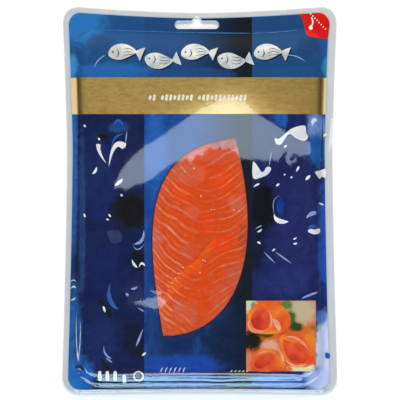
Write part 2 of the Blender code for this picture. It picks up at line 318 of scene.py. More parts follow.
# The small picture: its left, right, lower and upper edge, its rolls, their openings and their pale rims.
PICTURE_BOX = (33.2, 83.0, -122.6, -72.1)
PICTURE_ROLLS = (
    (
        (34.5, -84.0), (38.5, -75.5), (48.0, -72.9), (58.0, -75.0), (65.0, -84.0), (63.0, -92.0),
        (55.0, -95.5), (41.0, -95.0),
    ),
    (
        (57.5, -98.0), (66.0, -94.5), (76.0, -95.5), (81.5, -104.0), (81.0, -116.0), (74.0, -119.8),
        (64.0, -117.0), (58.0, -109.0),
    ),
    (
        (36.5, -114.0), (42.0, -107.5), (50.0, -106.0), (57.0, -110.0), (61.5, -119.0), (60.0, -122.2),
        (38.5, -122.2),
    ),
)
PICTURE_HEARTS = (
    (
        (36.4, -86.0), (39.0, -79.5), (44.0, -75.6), (49.0, -80.5), (50.0, -87.5), (46.5, -92.6),
        (39.5, -92.0),
    ),
    (
        (59.5, -100.5), (63.5, -101.0), (70.5, -105.0), (76.0, -113.0), (74.5, -116.5), (66.5, -116.0),
        (61.0, -109.5),
    ),
    (
        (39.0, -117.0), (42.5, -112.5), (49.5, -110.6), (54.0, -112.5), (50.0, -117.0), (43.5, -120.5),
        (40.0, -120.0),
    ),
)
PICTURE_RIMS = (
    ((34.8, -86.0), (37.2, -92.6), (46.5, -94.4), 3.2),
    ((49.5, -93.0), (51.4, -86.0), (48.5, -78.0), 1.0),
    ((60.0, -98.4), (70.0, -99.6), (79.0, -109.0), 1.8),
    ((60.5, -113.5), (68.0, -118.8), (76.5, -117.5), 1.6),
    ((37.5, -113.5), (46.5, -108.4), (56.0, -110.6), 1.6),
    ((52.0, -85.0), (55.0, -88.5), (57.0, -94.0), 4.0),
    ((56.0, -106.0), (58.5, -111.0), (60.0, -116.0), 1.8),
)
FLESH_FIELDS = (
    ((19.0, 41.5), 17.0, 7.0, "#8e3210", 1.0),
    ((12.1, 31.0), 14.0, 7.0, "#dc5c3c", 0.8),
    ((-5.5, 18.0), 12.0, 10.0, "#dc6440", 0.8),
    ((26.0, -3.0), 7.0, 9.0, "#d46a50", 0.7),
    ((-5.5, -9.0), 8.0, 5.0, "#de6a48", 0.6),
    ((-3.0, 31.0), 8.0, 5.0, "#e07048", 0.5),
    ((-14.0, 22.0), 6.0, 9.0, "#cc6a4e", 0.7),
    ((-30.5, -28.0), 4.6, 11.0, "#cc6a58", 0.9),
    ((-8.0, -36.5), 10.0, 6.0, "#d85c40", 0.6),
    ((24.0, -54.0), 7.0, 13.0, "#cc5c40", 0.85),
    ((14.0, -70.0), 9.5, 12.0, "#da5a3a", 0.8),
    ((-10.5, -81.0), 12.0, 9.0, "#de6442", 0.75),
    ((16.1, 13.6), 8.0, 7.0, "#ef4a00", 1.0),
    ((-14.4, 4.0), 10.0, 5.5, "#ea5004", 0.9),
    ((6.2, -16.8), 5.5, 10.0, "#ec4800", 0.9),
    ((16.0, -31.6), 9.0, 7.5, "#ee4400", 0.95),
    ((-3.6, -49.0), 9.0, 5.5, "#f05400", 0.9),
    ((-18.5, -61.5), 7.0, 6.0, "#ee5602", 0.9),
    ((1.3, -67.0), 7.0, 8.0, "#e44a0a", 0.8),
    ((31.8, -29.0), 5.5, 14.0, "#b84000", 1.0),
    ((-23.5, -87.5), 6.0, 6.0, "#d85418", 0.8),
    ((-16.0, -76.0), 5.0, 5.0, "#c86a52", 0.7),
)

# Painted highlights, small pale glints on the moist flesh: middle, half width and half height.
PAINTED_FLESH_GLINTS = (
    ((0.9, 2.7), 0.5, 0.8),
    ((-4.2, 22.4), 0.7, 0.6),
    ((-10.8, 20.0), 0.5, 0.4),
    ((2.3, -43.2), 0.6, 0.4),
    ((4.0, -43.9), 0.4, 0.4),
    ((0.2, -52.0), 0.5, 0.5),
    ((-12.0, -48.4), 0.6, 0.4),
    ((-15.0, -52.6), 0.6, 0.4),
    ((-17.4, -56.0), 0.7, 0.4),
    ((-20.0, -59.4), 0.6, 0.4),
    ((8.4, -7.0), 0.5, 0.3),
    ((10.4, -6.9), 0.5, 0.3),
    ((24.5, -7.4), 0.8, 0.4),
    ((28.2, -8.0), 0.7, 0.4),
)

# Spacing of the flakes of the flesh, and where the overlap of the slices ends and how it fades.
FLAKE = 8.6
PROUD_END = 20.0
PROUD_FADE = 14.0

SILVER_FISH_COUNT = 5
SILVER_FISH_SPAN = (-66.0, 64.0)
SILVER_FISH_Y = 102.6
LEAP = 2.3
FISH_DEPTH = 11.5

# The row of lozenges on the band: its places, those left free, where it starts and its pitch.
LOZENGE_PLACES = 24
LOZENGE_GAPS = (2, 11)
LOZENGE_START = (-35.5, 73.0)
LOZENGE_PITCH = 2.95

# The marks at the foot: bars, each as its place, lower end and upper end, and a ring.
FOOT_BARS = (
    (-71.5, -129.8, -122.3),
    (-66.0, -129.8, -122.3),
    (-60.5, -129.8, -122.3),
    (-54.0, -131.5, -125.0),
)
RING_CENTRE = (-43.8, -126.2)
RING_RADIUS = 3.3

# Where the bright panels over the pack show in the film, as the outlines of their reflections.
BRIGHT_PATCH = (
    (24.0, 73.6), (16.0, 72.0), (6.0, 67.0), (-6.0, 61.0), (-19.0, 51.0), (-29.0, 44.5), (-40.0, 37.5),
    (-49.5, 29.5), (-56.5, 20.5), (-60.5, 12.0), (-61.0, 8.0), (-57.0, 9.5), (-53.0, 7.0), (-46.5, 10.0),
    (-38.5, 12.5), (-29.0, 20.0), (-18.0, 27.0), (-12.0, 28.0), (-9.5, 30.5), (-6.5, 27.5), (-4.0, 29.0),
    (-2.0, 33.0), (2.0, 30.5), (3.0, 34.0), (7.0, 37.5), (11.0, 36.0), (14.0, 38.0), (18.0, 36.0),
    (21.0, 37.5), (24.0, 35.5), (27.5, 31.5), (30.0, 30.0), (37.0, 29.5), (42.5, 28.8), (46.0, 27.4),
    (49.0, 28.4), (50.8, 29.6), (53.6, 28.2), (56.2, 28.4), (58.2, 31.0), (60.8, 34.4), (62.8, 34.2),
    (61.2, 31.0), (61.6, 27.6), (63.8, 24.6), (66.8, 26.2), (69.8, 29.4), (68.4, 30.2), (65.8, 27.4),
    (63.9, 28.0), (64.6, 30.6), (67.2, 32.6), (71.4, 31.4), (76.0, 31.8), (80.0, 36.0), (79.5, 40.0),
    (72.0, 43.0), (64.5, 47.0), (56.5, 51.5), (48.0, 57.0), (40.5, 61.5), (34.0, 68.5), (29.0, 72.0),
)
BRIGHT_WEDGE = (
    (-47.5, -73.0), (-36.0, -70.2), (-28.5, -69.0), (-24.0, -71.4), (-26.5, -75.8), (-32.0, -77.8),
    (-38.0, -76.4),
)
BRIGHT_SPOT = ((-36.0, -64.6), (-30.0, -65.2), (-26.4, -67.4), (-30.5, -68.2))


def linear(code):
    """The linear colour of an sRGB hex code."""
    channels = [int(code[place : place + 2], 16) / 255.0 for place in (1, 3, 5)]
    return tuple(c / 12.92 if c <= 0.04045 else ((c + 0.055) / 1.055) ** 2.4 for c in channels) + (1.0,)


def colour_property(name, description, code):
    return bpy.props.FloatVectorProperty(
        name=name, description=description, subtype="COLOR", size=4, min=0.0, max=1.0, default=linear(code)
    )


def length_property(name, description, millimetres):
    return bpy.props.FloatProperty(
        name=name, description=description, default=millimetres * MM,
        min=0.0, unit="LENGTH", subtype="DISTANCE"
    )


class PackSizes(bpy.types.PropertyGroup):
    """Lengths of the pack that a user may change."""

    grid: length_property("Grid", "Distance between the points of the card and the films", 1.5)
    lower_film: length_property("Lower film", "Thickness of the lower film", 0.5)
    gap: length_property("Gap", "Gap between the layers", 0.3)
    card: length_property("Card", "Thickness of the printed card", 0.4)
    clear_film: length_property("Clear film", "Thickness of the clear film", 0.12)
    crest_rise: length_property("Crest rise", "Height of the raised middle at its edge", 4.6)
    dome_rise: length_property("Dome rise", "Further height of the raised middle at its centre", 1.6)
    slot_width: length_property("Slot width", "Width of the hang slot", 32.0)
    slot_height: length_property("Slot height", "Height of the hang slot", 6.0)
    slice_step: length_property("Slice step", "Height of the lower slice over the one it covers", 0.7)
    ink: length_property("Ink", "Step from one printed layer to the next", 0.03)


class PackColours(bpy.types.PropertyGroup):
    """Colours of the print and the fish that a user may change."""

    night: colour_property("Night", "Nearly black end of the print's middle", "#121a22")
    gold: colour_property("Gold", "Foil of the band", "#e6c174")
    gold_shade: colour_property("Gold shade", "Creases of the foil", "#d0ac5e")
    keyline: colour_property("Keyline", "Line round the window", "#141a38")
    flesh: colour_property("Flesh", "Salmon flesh", "#dd4c0a")
    flesh_deep: colour_property("Deep flesh", "Most orange parts of the flesh", "#ea4a00")
    flesh_pale: colour_property("Pale flesh", "Pink parts of the flesh", "#d6664a")
    flesh_edge: colour_property("Flesh edge", "Edge of the slice on top", "#ee5e04")
    fat: colour_property("Fat", "Lines of fat between the flakes", "#ee9a74")


# Geometry


def smooth(part):
    """An even part from 0 to 1, made to start and end gently."""
    part = np.clip(part, 0.0, 1.0)
    return part * part * (3.0 - 2.0 * part)


def waist_factor(y):
    """How much of its full width the pack has at each height of its outline."""
    above = np.maximum(y - WAIST_Y, 0.0)
    below = np.maximum(WAIST_Y - y, 0.0)
    half = HALF_WIDTH - WAIST_PINCH + WAIST_TOP_FLARE * (above / WAIST_TOP_REACH) ** WAIST_TOP_POWER
    half = half + WAIST_BOTTOM_FLARE * (below / WAIST_BOTTOM_REACH) ** WAIST_BOTTOM_POWER
    return half / HALF_WIDTH


def dip_factor(x, y):
    """How much of its full length the pack has at each point: its ends dip in the middle."""
    reach = np.minimum(1.0, np.abs(x) / DIP_SPAN) ** DIP_POWER
    dip = np.where(y > 0.0, TOP_DIP / TOP_Y, BOTTOM_DIP / -BOTTOM_Y)
    return 1.0 - dip * (1.0 - reach)


def waisted(x, y):
    """Points of the plain rounded rectangle, moved in where the pack is waisted and where its ends dip."""
    return x * waist_factor(y), y * dip_factor(x, y)


def unwaisted(x, y):
    """The plain point that waisted() moves to this one."""
    plain_x, plain_y = x, y
    for _ in range(4):
        plain_x = x / waist_factor(plain_y)
        plain_y = y / dip_factor(plain_x, plain_y)
    return plain_x, plain_y


def depth_inside(x, y, shape):
    """How far inside a rounded rectangle each plain point lies, and below 0 outside it."""
    half_width, top, bottom, radius_top, radius_bottom = shape
    middle = (top + bottom) / 2.0
    radius = np.where(y > middle, radius_top, radius_bottom)
    over_x = np.abs(x) - (half_width - radius)
    over_y = np.abs(y - middle) - ((top - bottom) / 2.0 - radius)
    outside = np.hypot(np.maximum(over_x, 0.0), np.maximum(over_y, 0.0))
    return radius - outside - np.minimum(np.maximum(over_x, over_y), 0.0)


def card_depth(x, y):
    """How far inside the outline of the card each point lies."""
    plain_x, plain_y = unwaisted(x, y)
    return depth_inside(plain_x - CARD_X, plain_y, CARD)


def climb(x, y):
    """How far up the slope of the raised middle each point is: 0 at its foot and 1 at its crest."""
    plain_x, plain_y = unwaisted(x, y)
    from_foot = depth_inside(plain_x, plain_y, FOOT)
    from_crest = depth_inside(plain_x, plain_y, CREST)
    return np.clip(from_foot / np.maximum(from_foot - from_crest, 0.01), 0.0, 1.0)


def raised(x, y):
    """Height of the formed layers over the flat margin, in millimetres."""
    sizes = bpy.context.scene.pack_sizes
    plain_x, plain_y = unwaisted(x, y)
    half_width, top, bottom, _, _ = CREST
    across = np.clip(1.0 - (plain_x / half_width) ** 2, 0.0, 1.0)
    along = np.clip(1.0 - ((plain_y - (top + bottom) / 2.0) / ((top - bottom) / 2.0)) ** 2, 0.0, 1.0)
    dome = sizes.dome_rise / MM * np.sqrt(across * along)
    up = climb(x, y)
    return sizes.crest_rise / MM * (ROUNDING * smooth(up) + (1.0 - ROUNDING) * up) + dome


def film_height(x, y):
    """Height of the underside of the clear film, which lies on the card and comes down at its edge."""
    sizes = bpy.context.scene.pack_sizes
    on_card = smooth(card_depth(x, y) / CARD_EDGE_FALL + 1.0)
    base = (sizes.lower_film + sizes.gap) / MM
    return base + (sizes.card + sizes.gap) / MM * on_card + raised(x, y)


def bezier(start, handles, end, steps):
    """Points along a curve, without its last."""
    t = np.arange(steps)[:, None] / steps
    knots = [np.array(knot) for knot in (start, *handles, end)]
    weights = ((1 - t) ** 3, 3 * t * (1 - t) ** 2, 3 * t * t * (1 - t), t**3)
    return sum(weight * knot for weight, knot in zip(weights, knots))


def leaf_outline():
    back = (LEAF_RIGHT_HANDLES[1], LEAF_RIGHT_HANDLES[0])
    left = bezier(LEAF_TOP, LEAF_LEFT_HANDLES, LEAF_BOTTOM, LEAF_STEPS)
    return np.vstack((left, bezier(LEAF_BOTTOM, back, LEAF_TOP, LEAF_STEPS)))


def slot_outline():
    sizes = bpy.context.scene.pack_sizes
    radius = sizes.slot_height / MM / 2.0
    reach = sizes.slot_width / MM / 2.0 - radius
    turn = np.radians(np.linspace(-90.0, 90.0, 13))
    right = np.column_stack((SLOT_X + reach + radius * np.cos(turn), SLOT_Y + radius * np.sin(turn)))
    left = np.column_stack((SLOT_X - reach - radius * np.cos(turn), SLOT_Y - radius * np.sin(turn)))
    top = SLOT_Y + radius
    peak = [
        (SLOT_X + SLOT_PEAK_BASE / 2.0, top),
        (SLOT_X + SLOT_PEAK_TOP / 2.0, top + SLOT_PEAK_HEIGHT),
        (SLOT_X - SLOT_PEAK_TOP / 2.0, top + SLOT_PEAK_HEIGHT),
        (SLOT_X - SLOT_PEAK_BASE / 2.0, top),
    ]
    return np.vstack((right, peak, left))


def distance_to_line(x, y, starts, ends):
    """Distance of each point to the nearest of these straight stretches."""
    nearest = np.full(x.shape, 1e9)
    for (ax, ay), (bx, by) in zip(starts, ends):
        length = max((bx - ax) ** 2 + (by - ay) ** 2, 1e-9)
        part = np.clip(((x - ax) * (bx - ax) + (y - ay) * (by - ay)) / length, 0.0, 1.0)
        nearest = np.minimum(nearest, np.hypot(x - ax - part * (bx - ax), y - ay - part * (by - ay)))
    return nearest


def distance_to_outline(x, y, outline):
    """Distance of each point to a closed outline, above 0 inside it."""
    ends = np.roll(outline, -1, axis=0)
    inside = np.zeros(x.shape, bool)
    for (ax, ay), (bx, by) in zip(outline, ends):
        if ay != by:
            crosses = (ay > y) != (by > y)
            inside ^= crosses & (x < (bx - ax) * (y - ay) / (by - ay) + ax)
    nearest = distance_to_line(x, y, outline, ends)
    return np.where(inside, nearest, -nearest)


def coordinates(obj):
    """The points of an object as an array, in millimetres."""
    points = np.empty(len(obj.data.vertices) * 3)
    obj.data.vertices.foreach_get("co", points)
    return points.reshape(-1, 3) / MM


def place(obj, points):
    obj.data.vertices.foreach_set("co", (points * MM).reshape(-1))
    obj.data.update()


def start(name):
    """The new primitive, alone in the selection, under its name."""
    obj = bpy.context.object
    obj.name = name
    obj.data.name = name
    return obj


def clear_selection():
    bpy.ops.object.select_all(action="DESELECT")


def choose(obj):
    clear_selection()
    obj.select_set(True)
    bpy.context.view_layer.objects.active = obj


def apply_modifier(obj, kind, **settings):
    """Adds a modifier with these settings and applies it."""
    choose(obj)
    modifier = obj.modifiers.new(kind.title(), kind)
    for setting, value in settings.items():
        setattr(modifier, setting, value)
    bpy.ops.object.modifier_apply(modifier=modifier.name)


def grid_sheet(name, shape, step, shift=0.0):
    """A flat grid in the rounded and waisted shape given, at the height 0."""
    half_width, top, bottom, radius_top, radius_bottom = shape
    clear_selection()
    columns = round(2.0 * half_width / step)
    rows = round((top - bottom) / step)
    bpy.ops.mesh.primitive_grid_add(x_subdivisions=columns, y_subdivisions=rows, size=2.0)
    obj = start(name)
    points = coordinates(obj) * MM
    x = points[:, 0] * half_width
    middle = (top + bottom) / 2.0
    y = middle + points[:, 1] * (top - bottom) / 2.0
    radius = np.where(y > middle, radius_top, radius_bottom)
    centre_x = np.sign(x) * (half_width - radius)
    centre_y = middle + np.sign(y - middle) * ((top - bottom) / 2.0 - radius)
    away_x, away_y = x - centre_x, y - centre_y
    corner = (np.abs(x) > np.abs(centre_x)) & (np.abs(y - middle) > np.abs(centre_y - middle))
    distance = np.maximum(np.hypot(away_x, away_y), 1e-6)
    pull = np.where(corner & (distance > radius), radius / distance, 1.0)
    x = np.where(corner, centre_x + away_x * pull, x)
    y = np.where(corner, centre_y + away_y * pull, y)
    x, y = waisted(x + shift, y)
    place(obj, np.column_stack((x, y, np.zeros_like(x))))
    bpy.ops.object.mode_set(mode="EDIT")
    bpy.ops.mesh.select_all(action="SELECT")
    bpy.ops.mesh.remove_doubles(threshold=0.12 * MM)
    bpy.ops.mesh.dissolve_degenerate(threshold=0.02 * MM)
    bpy.ops.object.mode_set(mode="OBJECT")
    return obj


def plate(name, outline, low, high):
    """A flat plate with this outline, from one height to another."""
    clear_selection()
    bpy.ops.mesh.primitive_circle_add(vertices=len(outline), radius=1.0, fill_type="NGON")
    obj = start(name)
    place(obj, np.column_stack((outline, np.full(len(outline), low))))
    bpy.ops.object.mode_set(mode="EDIT")
    bpy.ops.mesh.select_all(action="SELECT")
    bpy.ops.mesh.extrude_region_move(TRANSFORM_OT_translate={"value": (0.0, 0.0, (high - low) * MM)})
    bpy.ops.mesh.select_all(action="SELECT")
    bpy.ops.mesh.normals_make_consistent(inside=False)
    bpy.ops.object.mode_set(mode="OBJECT")
    return obj


def cut(obj, outline):
    """Cuts a hole with this outline through the sheet."""
    cutter = plate("cutter", outline, -10.0, 30.0)
    apply_modifier(obj, "BOOLEAN", operation="DIFFERENCE", solver="EXACT", object=cutter)
    bpy.data.objects.remove(cutter)


def give(obj, name, values):
    """Stores one number for each point of the object."""
    attribute = obj.data.attributes.new(name, "FLOAT", "POINT")
    attribute.data.foreach_set("value", np.asarray(values, np.float32))


def join(objects, name):
    """Makes one object of these."""
    clear_selection()
    for obj in objects:
        obj.select_set(True)
    bpy.context.view_layer.objects.active = objects[0]
    if len(objects) > 1:
        bpy.ops.object.join()
    return start(name)


def drop_width(t):
    return np.sin(math.pi * t**1.3) ** 0.7


def comma_width(t):
    """Blunt where it starts, then thinner and thinner."""
    return np.minimum(1.0, t / 0.05) ** 0.5 * (1.0 - t) ** 0.75


def bar_width(t):
    return np.sqrt(np.maximum(1.0 - np.abs(2.0 * t - 1.0) ** 6, 0.0))


def fish_width(t):
    """A slim body, then a narrow root and a spread tail."""
    body = np.sin(math.pi * np.minimum(t / 0.84, 1.0) ** 0.75) ** 0.8
    tail = np.clip((t - 0.79) / 0.21, 0.0, 1.0) ** 0.8
    return np.maximum(body, 0.12) * (t < 0.8) * (t > 0.0) + np.maximum(0.12, 0.9 * tail) * (t >= 0.8)


def ribbon(begin, middle, end, width, swell=drop_width, steps=14):
    """A flat shape along a curve through three points, with a width that changes along it."""
    clear_selection()
    bpy.ops.mesh.primitive_grid_add(x_subdivisions=steps, y_subdivisions=2 * math.ceil(width / 2.0), size=2.0)
    obj = bpy.context.object
    points = coordinates(obj) * MM
    t = (points[:, :1] + 1.0) / 2.0
    begin, middle, end = (np.array(knot) for knot in (begin, middle, end))
    handle = 2.0 * middle - (begin + end) / 2.0
    path = (1 - t) ** 2 * begin + 2 * t * (1 - t) * handle + t**2 * end
    along = (1 - t) * (handle - begin) + t * (end - handle)
    along /= np.maximum(np.hypot(along[:, :1], along[:, 1:]), 1e-6)
    side = np.column_stack((-along[:, 1], along[:, 0]))
    path = path + side * points[:, 1:2] * swell(np.clip(t, 0.0, 1.0)) * width / 2.0
    place(obj, np.column_stack((path, np.zeros(len(path)))))
    return obj


def spline(p0, p1, p2, p3, t):
    """The point a part t of the way from p1 to p2 on a smooth curve through all four."""
    return p1 + 0.5 * t * (p2 - p0 + t * (2 * p0 - 5 * p1 + 4 * p2 - p3 + t * (3 * (p1 - p2) + p3 - p0)))


def rounded_line(knots, steps=4):
    """A closed curve that passes through each of the points."""
    knots = np.array(knots, float)
    before, after, beyond = (np.roll(knots, shift, axis=0) for shift in (1, -1, -2))
    t = (np.arange(steps) / steps)[None, :, None]
    around = (each[:, None, :] for each in (before, knots, after, beyond))
    return spline(*around, t).reshape(-1, 2)


def oval(centre, half_width, half_height, turn=0.0, count=28):
    angle = np.linspace(0.0, 2.0 * math.pi, count, endpoint=False)
    x, y = half_width * np.cos(angle), half_height * np.sin(angle)
    lean = math.radians(turn)
    return np.column_stack(
        (
            centre[0] + x * math.cos(lean) - y * math.sin(lean),
            centre[1] + x * math.sin(lean) + y * math.cos(lean),
        )
    )


def patch(outline, cuts=2):
    """A flat shape inside a closed outline."""
    clear_selection()
    bpy.ops.mesh.primitive_circle_add(vertices=len(outline), radius=1.0, fill_type="NGON")
    obj = bpy.context.object
    place(obj, np.column_stack((outline, np.zeros(len(outline)))))
    bpy.ops.object.mode_set(mode="EDIT")
    bpy.ops.mesh.select_all(action="SELECT")
    bpy.ops.mesh.quads_convert_to_tris(quad_method="BEAUTY", ngon_method="BEAUTY")
    bpy.ops.mesh.subdivide(number_cuts=cuts)
    bpy.ops.object.mode_set(mode="OBJECT")
    return obj


def card_top(x, y):
    sizes = bpy.context.scene.pack_sizes
    return (sizes.lower_film + sizes.gap + sizes.card) / MM + raised(x, y)


def lay_on_card(name, pieces, level, material):
    """Lays the flat pieces on the card as one layer: printed ink, painted highlights or painted shade."""
    obj = join(pieces, name)
    points = coordinates(obj)
    sizes = bpy.context.scene.pack_sizes
    points[:, 2] = card_top(points[:, 0], points[:, 1]) + (level + 1) * sizes.ink / MM
    place(obj, points)
    bpy.ops.object.mode_set(mode="EDIT")
    bpy.ops.mesh.select_all(action="SELECT")
    bpy.ops.mesh.remove_doubles(threshold=0.004 * MM)
    bpy.ops.mesh.dissolve_degenerate(threshold=0.002 * MM)
    bpy.ops.mesh.normals_make_consistent(inside=False)
    bpy.ops.object.mode_set(mode="OBJECT")
    face_up(obj)
    apply_modifier(obj, "SOLIDIFY", thickness=sizes.ink * 0.4, offset=-1.0)
    finish_piece(obj, material, [])


def face_up(obj):
    """Turns over each face of a sheet that looks down."""
    choose(obj)
    bpy.ops.object.mode_set(mode="EDIT")
    bpy.ops.mesh.select_all(action="DESELECT")
    bpy.ops.object.mode_set(mode="OBJECT")
    for polygon in obj.data.polygons:
        polygon.select = polygon.normal.z < 0.0
    bpy.ops.object.mode_set(mode="EDIT")
    bpy.ops.mesh.flip_normals()
    bpy.ops.object.mode_set(mode="OBJECT")


def overlap_line():
    """The edge of the slice on top, carried on to both sides of the pack."""
    knots = np.array(OVERLAP_EDGE + OVERLAP_FAR, float)
    curve = [knots[0]]
    for around in zip(knots[:-3], knots[1:-2], knots[2:-1], knots[3:]):
        curve.extend(spline(*around, t) for t in np.arange(6) / 6.0)
    return np.vstack((curve, knots[-2], knots[-1]))


def past_overlap(x, y):
    """How far each point lies to the lower right of the edge of the slice on top."""
    line = overlap_line()
    region = np.vstack((line, (95.0, -140.0), (-86.0, -140.0)))
    nearest = distance_to_line(x, y, line[:-1], line[1:])
    inside = distance_to_outline(x, y, region) > 0.0
    return np.where(inside, nearest, -nearest)


def flake_phase(x, y, along=0.0, lean=0.0):
    """Which flake each point lies in. The flakes meet in a rounded V along the middle of the slice."""
    left = np.maximum(-(x - along), 0.0)
    right = np.maximum(x - along, 0.0)
    rise = 0.42 * left + 0.0105 * left**2 + 0.10 * right + 0.0095 * right**2
    sway = 1.7 * np.sin(x / 9.0 + y / 15.0) + 0.8 * np.sin(x / 4.3 - y / 6.1) + 1.1 * np.sin(y / 9.5)
    return (y + lean * x - rise + sway) / FLAKE


def lower_flakes(x, y):
    """The flakes of the slice on top, which run on from those of the other towards its right."""
    own = flake_phase(x, y, -1.0, -0.12) + 0.4
    shared = flake_phase(x, y)
    return own + (shared - own) * smooth((x - 4.0) / 16.0)


def slice_top(x, y, phase):
    """Height of the flesh, which is a little fuller in the window and grooved along each line of fat."""
    sizes = bpy.context.scene.pack_sizes
    base = (sizes.lower_film + sizes.gap) / MM + raised(x, y)
    leaf = distance_to_outline(x, y, leaf_outline())
    full = smooth(leaf / 5.0)
    groove = 0.07 * np.cos(2.0 * math.pi * phase) ** 8
    lumps = 0.10 * np.sin(x / 5.3 + 1.7 * np.sin(y / 11.0)) * np.sin(y / 6.1 + 1.3 * np.sin(x / 8.0))
    return base - 0.15 + full * (0.32 + lumps - groove)


def proud(x):
    """1 where the edge of the slice on top stands proud, fading to 0 where the slices lie level."""
    return smooth((PROUD_END - x) / PROUD_FADE)


def upper_slice_heights(x, y):
    """Top and bottom of the slice below, which sinks under the edge of the other and ends beneath it."""
    sizes = bpy.context.scene.pack_sizes
    floor = (sizes.lower_film + sizes.gap * 0.2) / MM
    past = past_overlap(x, y)
    top = slice_top(x, y, flake_phase(x, y))
    top = top - sizes.slice_step / MM * proud(x) * smooth(past / 7.0 + 1.0)
    top = top - (top - floor - 0.4) * smooth(past / TUCK)
    return top, np.full_like(x, floor)


def lower_slice_heights(x, y):
    """Top and bottom of the slice on top, which thins to its edge and lies on the other."""
    step = bpy.context.scene.pack_sizes.slice_step / MM
    past = past_overlap(x, y)
    top = slice_top(x, y, lower_flakes(x, y))
    top = top - 0.75 * step * proud(x) * (1.0 - smooth(past / 2.4))
    beneath, floor = upper_slice_heights(x, y)
    bottom = np.where(past < TUCK + 2.0, np.maximum(beneath + 0.05, floor), floor)
    return top, np.minimum(bottom, top - 0.08)


def slab(name, outside, heights):
    """A closed slab with the outline of the contents, less a prism, between the two heights given."""
    obj = grid_sheet(name, CONTENTS, SLICE_GRID)
    cut(obj, outside)
    choose(obj)
    bpy.ops.object.mode_set(mode="EDIT")
    bpy.ops.mesh.select_all(action="SELECT")
    bpy.ops.mesh.extrude_region_move(TRANSFORM_OT_translate={"value": (0.0, 0.0, 20.0 * MM)})
    bpy.ops.mesh.select_all(action="SELECT")
    bpy.ops.mesh.normals_make_consistent(inside=False)
    bpy.ops.object.mode_set(mode="OBJECT")
    points = coordinates(obj)
    top, bottom = heights(points[:, 0], points[:, 1])
    upper = points[:, 2] > 10.0
    points[:, 2] = np.where(upper, np.maximum(top, bottom + 0.05), bottom)
    place(obj, points)
    return obj


def finish_piece(obj, material, nodes, angle=40.0):
    """Shades the piece, gives it its material and fixes it to the pack."""
    choose(obj)
    bpy.ops.object.shade_smooth_by_angle(angle=math.radians(angle))
    obj.data.materials.clear()
    obj.data.materials.append(material)
    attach(obj, "root")
    if nodes:
        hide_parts(*nodes)


# Materials


# How far apart the features of each pattern are, in millimetres. The screen of the ink and the fibres
# of the flesh are really finer, and are drawn as coarse as they need to be to show. A wave repeats
# after pi / 10 of its units.
MILKY_CLOUDS = 16.667
WATER_RIPPLES = 11.111
WATER_SWIRLS = 16.667
FOIL_CRINKLES = 4.348
PICTURE_RIPPLES = 3.03
INK_SCREEN = 4.545
INK_PATCHES = 11.111
FILM_CREASES = 28.571
FILM_RIDGES = 3.206
FLESH_PATCHES = 7.692
FLESH_FIBRES = 4.762


def per_metre(millimetres):
    """The scale of a pattern whose features are this far apart."""
    return 1.0 / (millimetres * MM)


def add(tree, kind, inputs=None, **settings):
    """Adds a node with its settings, and links or sets its inputs."""
    node = tree.nodes.new(kind)
    for setting, value in settings.items():
        setattr(node, setting, value)
    for key, value in (inputs or {}).items():
        if isinstance(value, bpy.types.NodeSocket):
            tree.links.new(value, node.inputs[key])
        else:
            node.inputs[key].default_value = value
    return node


def new_material(name):
    """An empty material and its node tree."""
    material = bpy.data.materials.new(name)
    material.use_nodes = True
    material.node_tree.nodes.clear()
    return material, material.node_tree


def lower_film_material():
    """Thermoformed laminate, clear but milky where it lies on a pale surface."""
    material, tree = new_material("milky_laminate")
    where = add(tree, "ShaderNodeTexCoord")
    cloud = add(
        tree,
        "ShaderNodeTexNoise",
        {"Vector": where.outputs["Object"], "Scale": per_metre(MILKY_CLOUDS), "Detail": 3.0},
    )
    tint = add(
        tree,
        "ShaderNodeMix",
        {0: cloud.outputs["Fac"], 6: linear("#cccdce"), 7: linear("#dcdddd")},
        data_type="RGBA",
    )
    bump = add(
        tree,
        "ShaderNodeBump",
        {"Height": cloud.outputs["Fac"], "Strength": 0.1, "Distance": 0.0005},
    )
    shader = add(
        tree,
        "ShaderNodeBsdfPrincipled",
        {"Base Color": tint.outputs[2], "Roughness": 0.3, "IOR": 1.5, "Normal": bump.outputs["Normal"]},
    )
    add(tree, "ShaderNodeOutputMaterial", {"Surface": shader.outputs[0]})
    return material


def spotted(tree, place_on, ripple, below, fields):
    """Lays soft fields over a colour: each is a spot that fades from its middle, broken up by the ripple."""
    for centre, half_width, half_height, code, strength in fields:
        near = add(
            tree,
            "ShaderNodeMapping",
            {
                0: place_on,
                1: (-centre[0] / half_width, -centre[1] / half_height, 0.0),
                3: (1.0 / (half_width * MM), 1.0 / (half_height * MM), 0.0),
            },
        )
        far = add(tree, "ShaderNodeVectorMath", {0: near.outputs[0]}, operation="LENGTH")
        far = add(
            tree,
            "ShaderNodeMath",
            {0: ripple, 1: 0.9, 2: far.outputs["Value"]},
            operation="MULTIPLY_ADD",
        )
        mask = add(
            tree,
            "ShaderNodeMapRange",
            {"Value": far.outputs[0], "From Min": 1.5, "From Max": 0.95, "To Max": strength},
            interpolation_type="SMOOTHSTEP",
        )
        layer = add(
            tree,
            "ShaderNodeMix",
            {0: mask.outputs[0], 6: below, 7: linear(code)},
            data_type="RGBA",
        )
        below = layer.outputs[2]
    return below


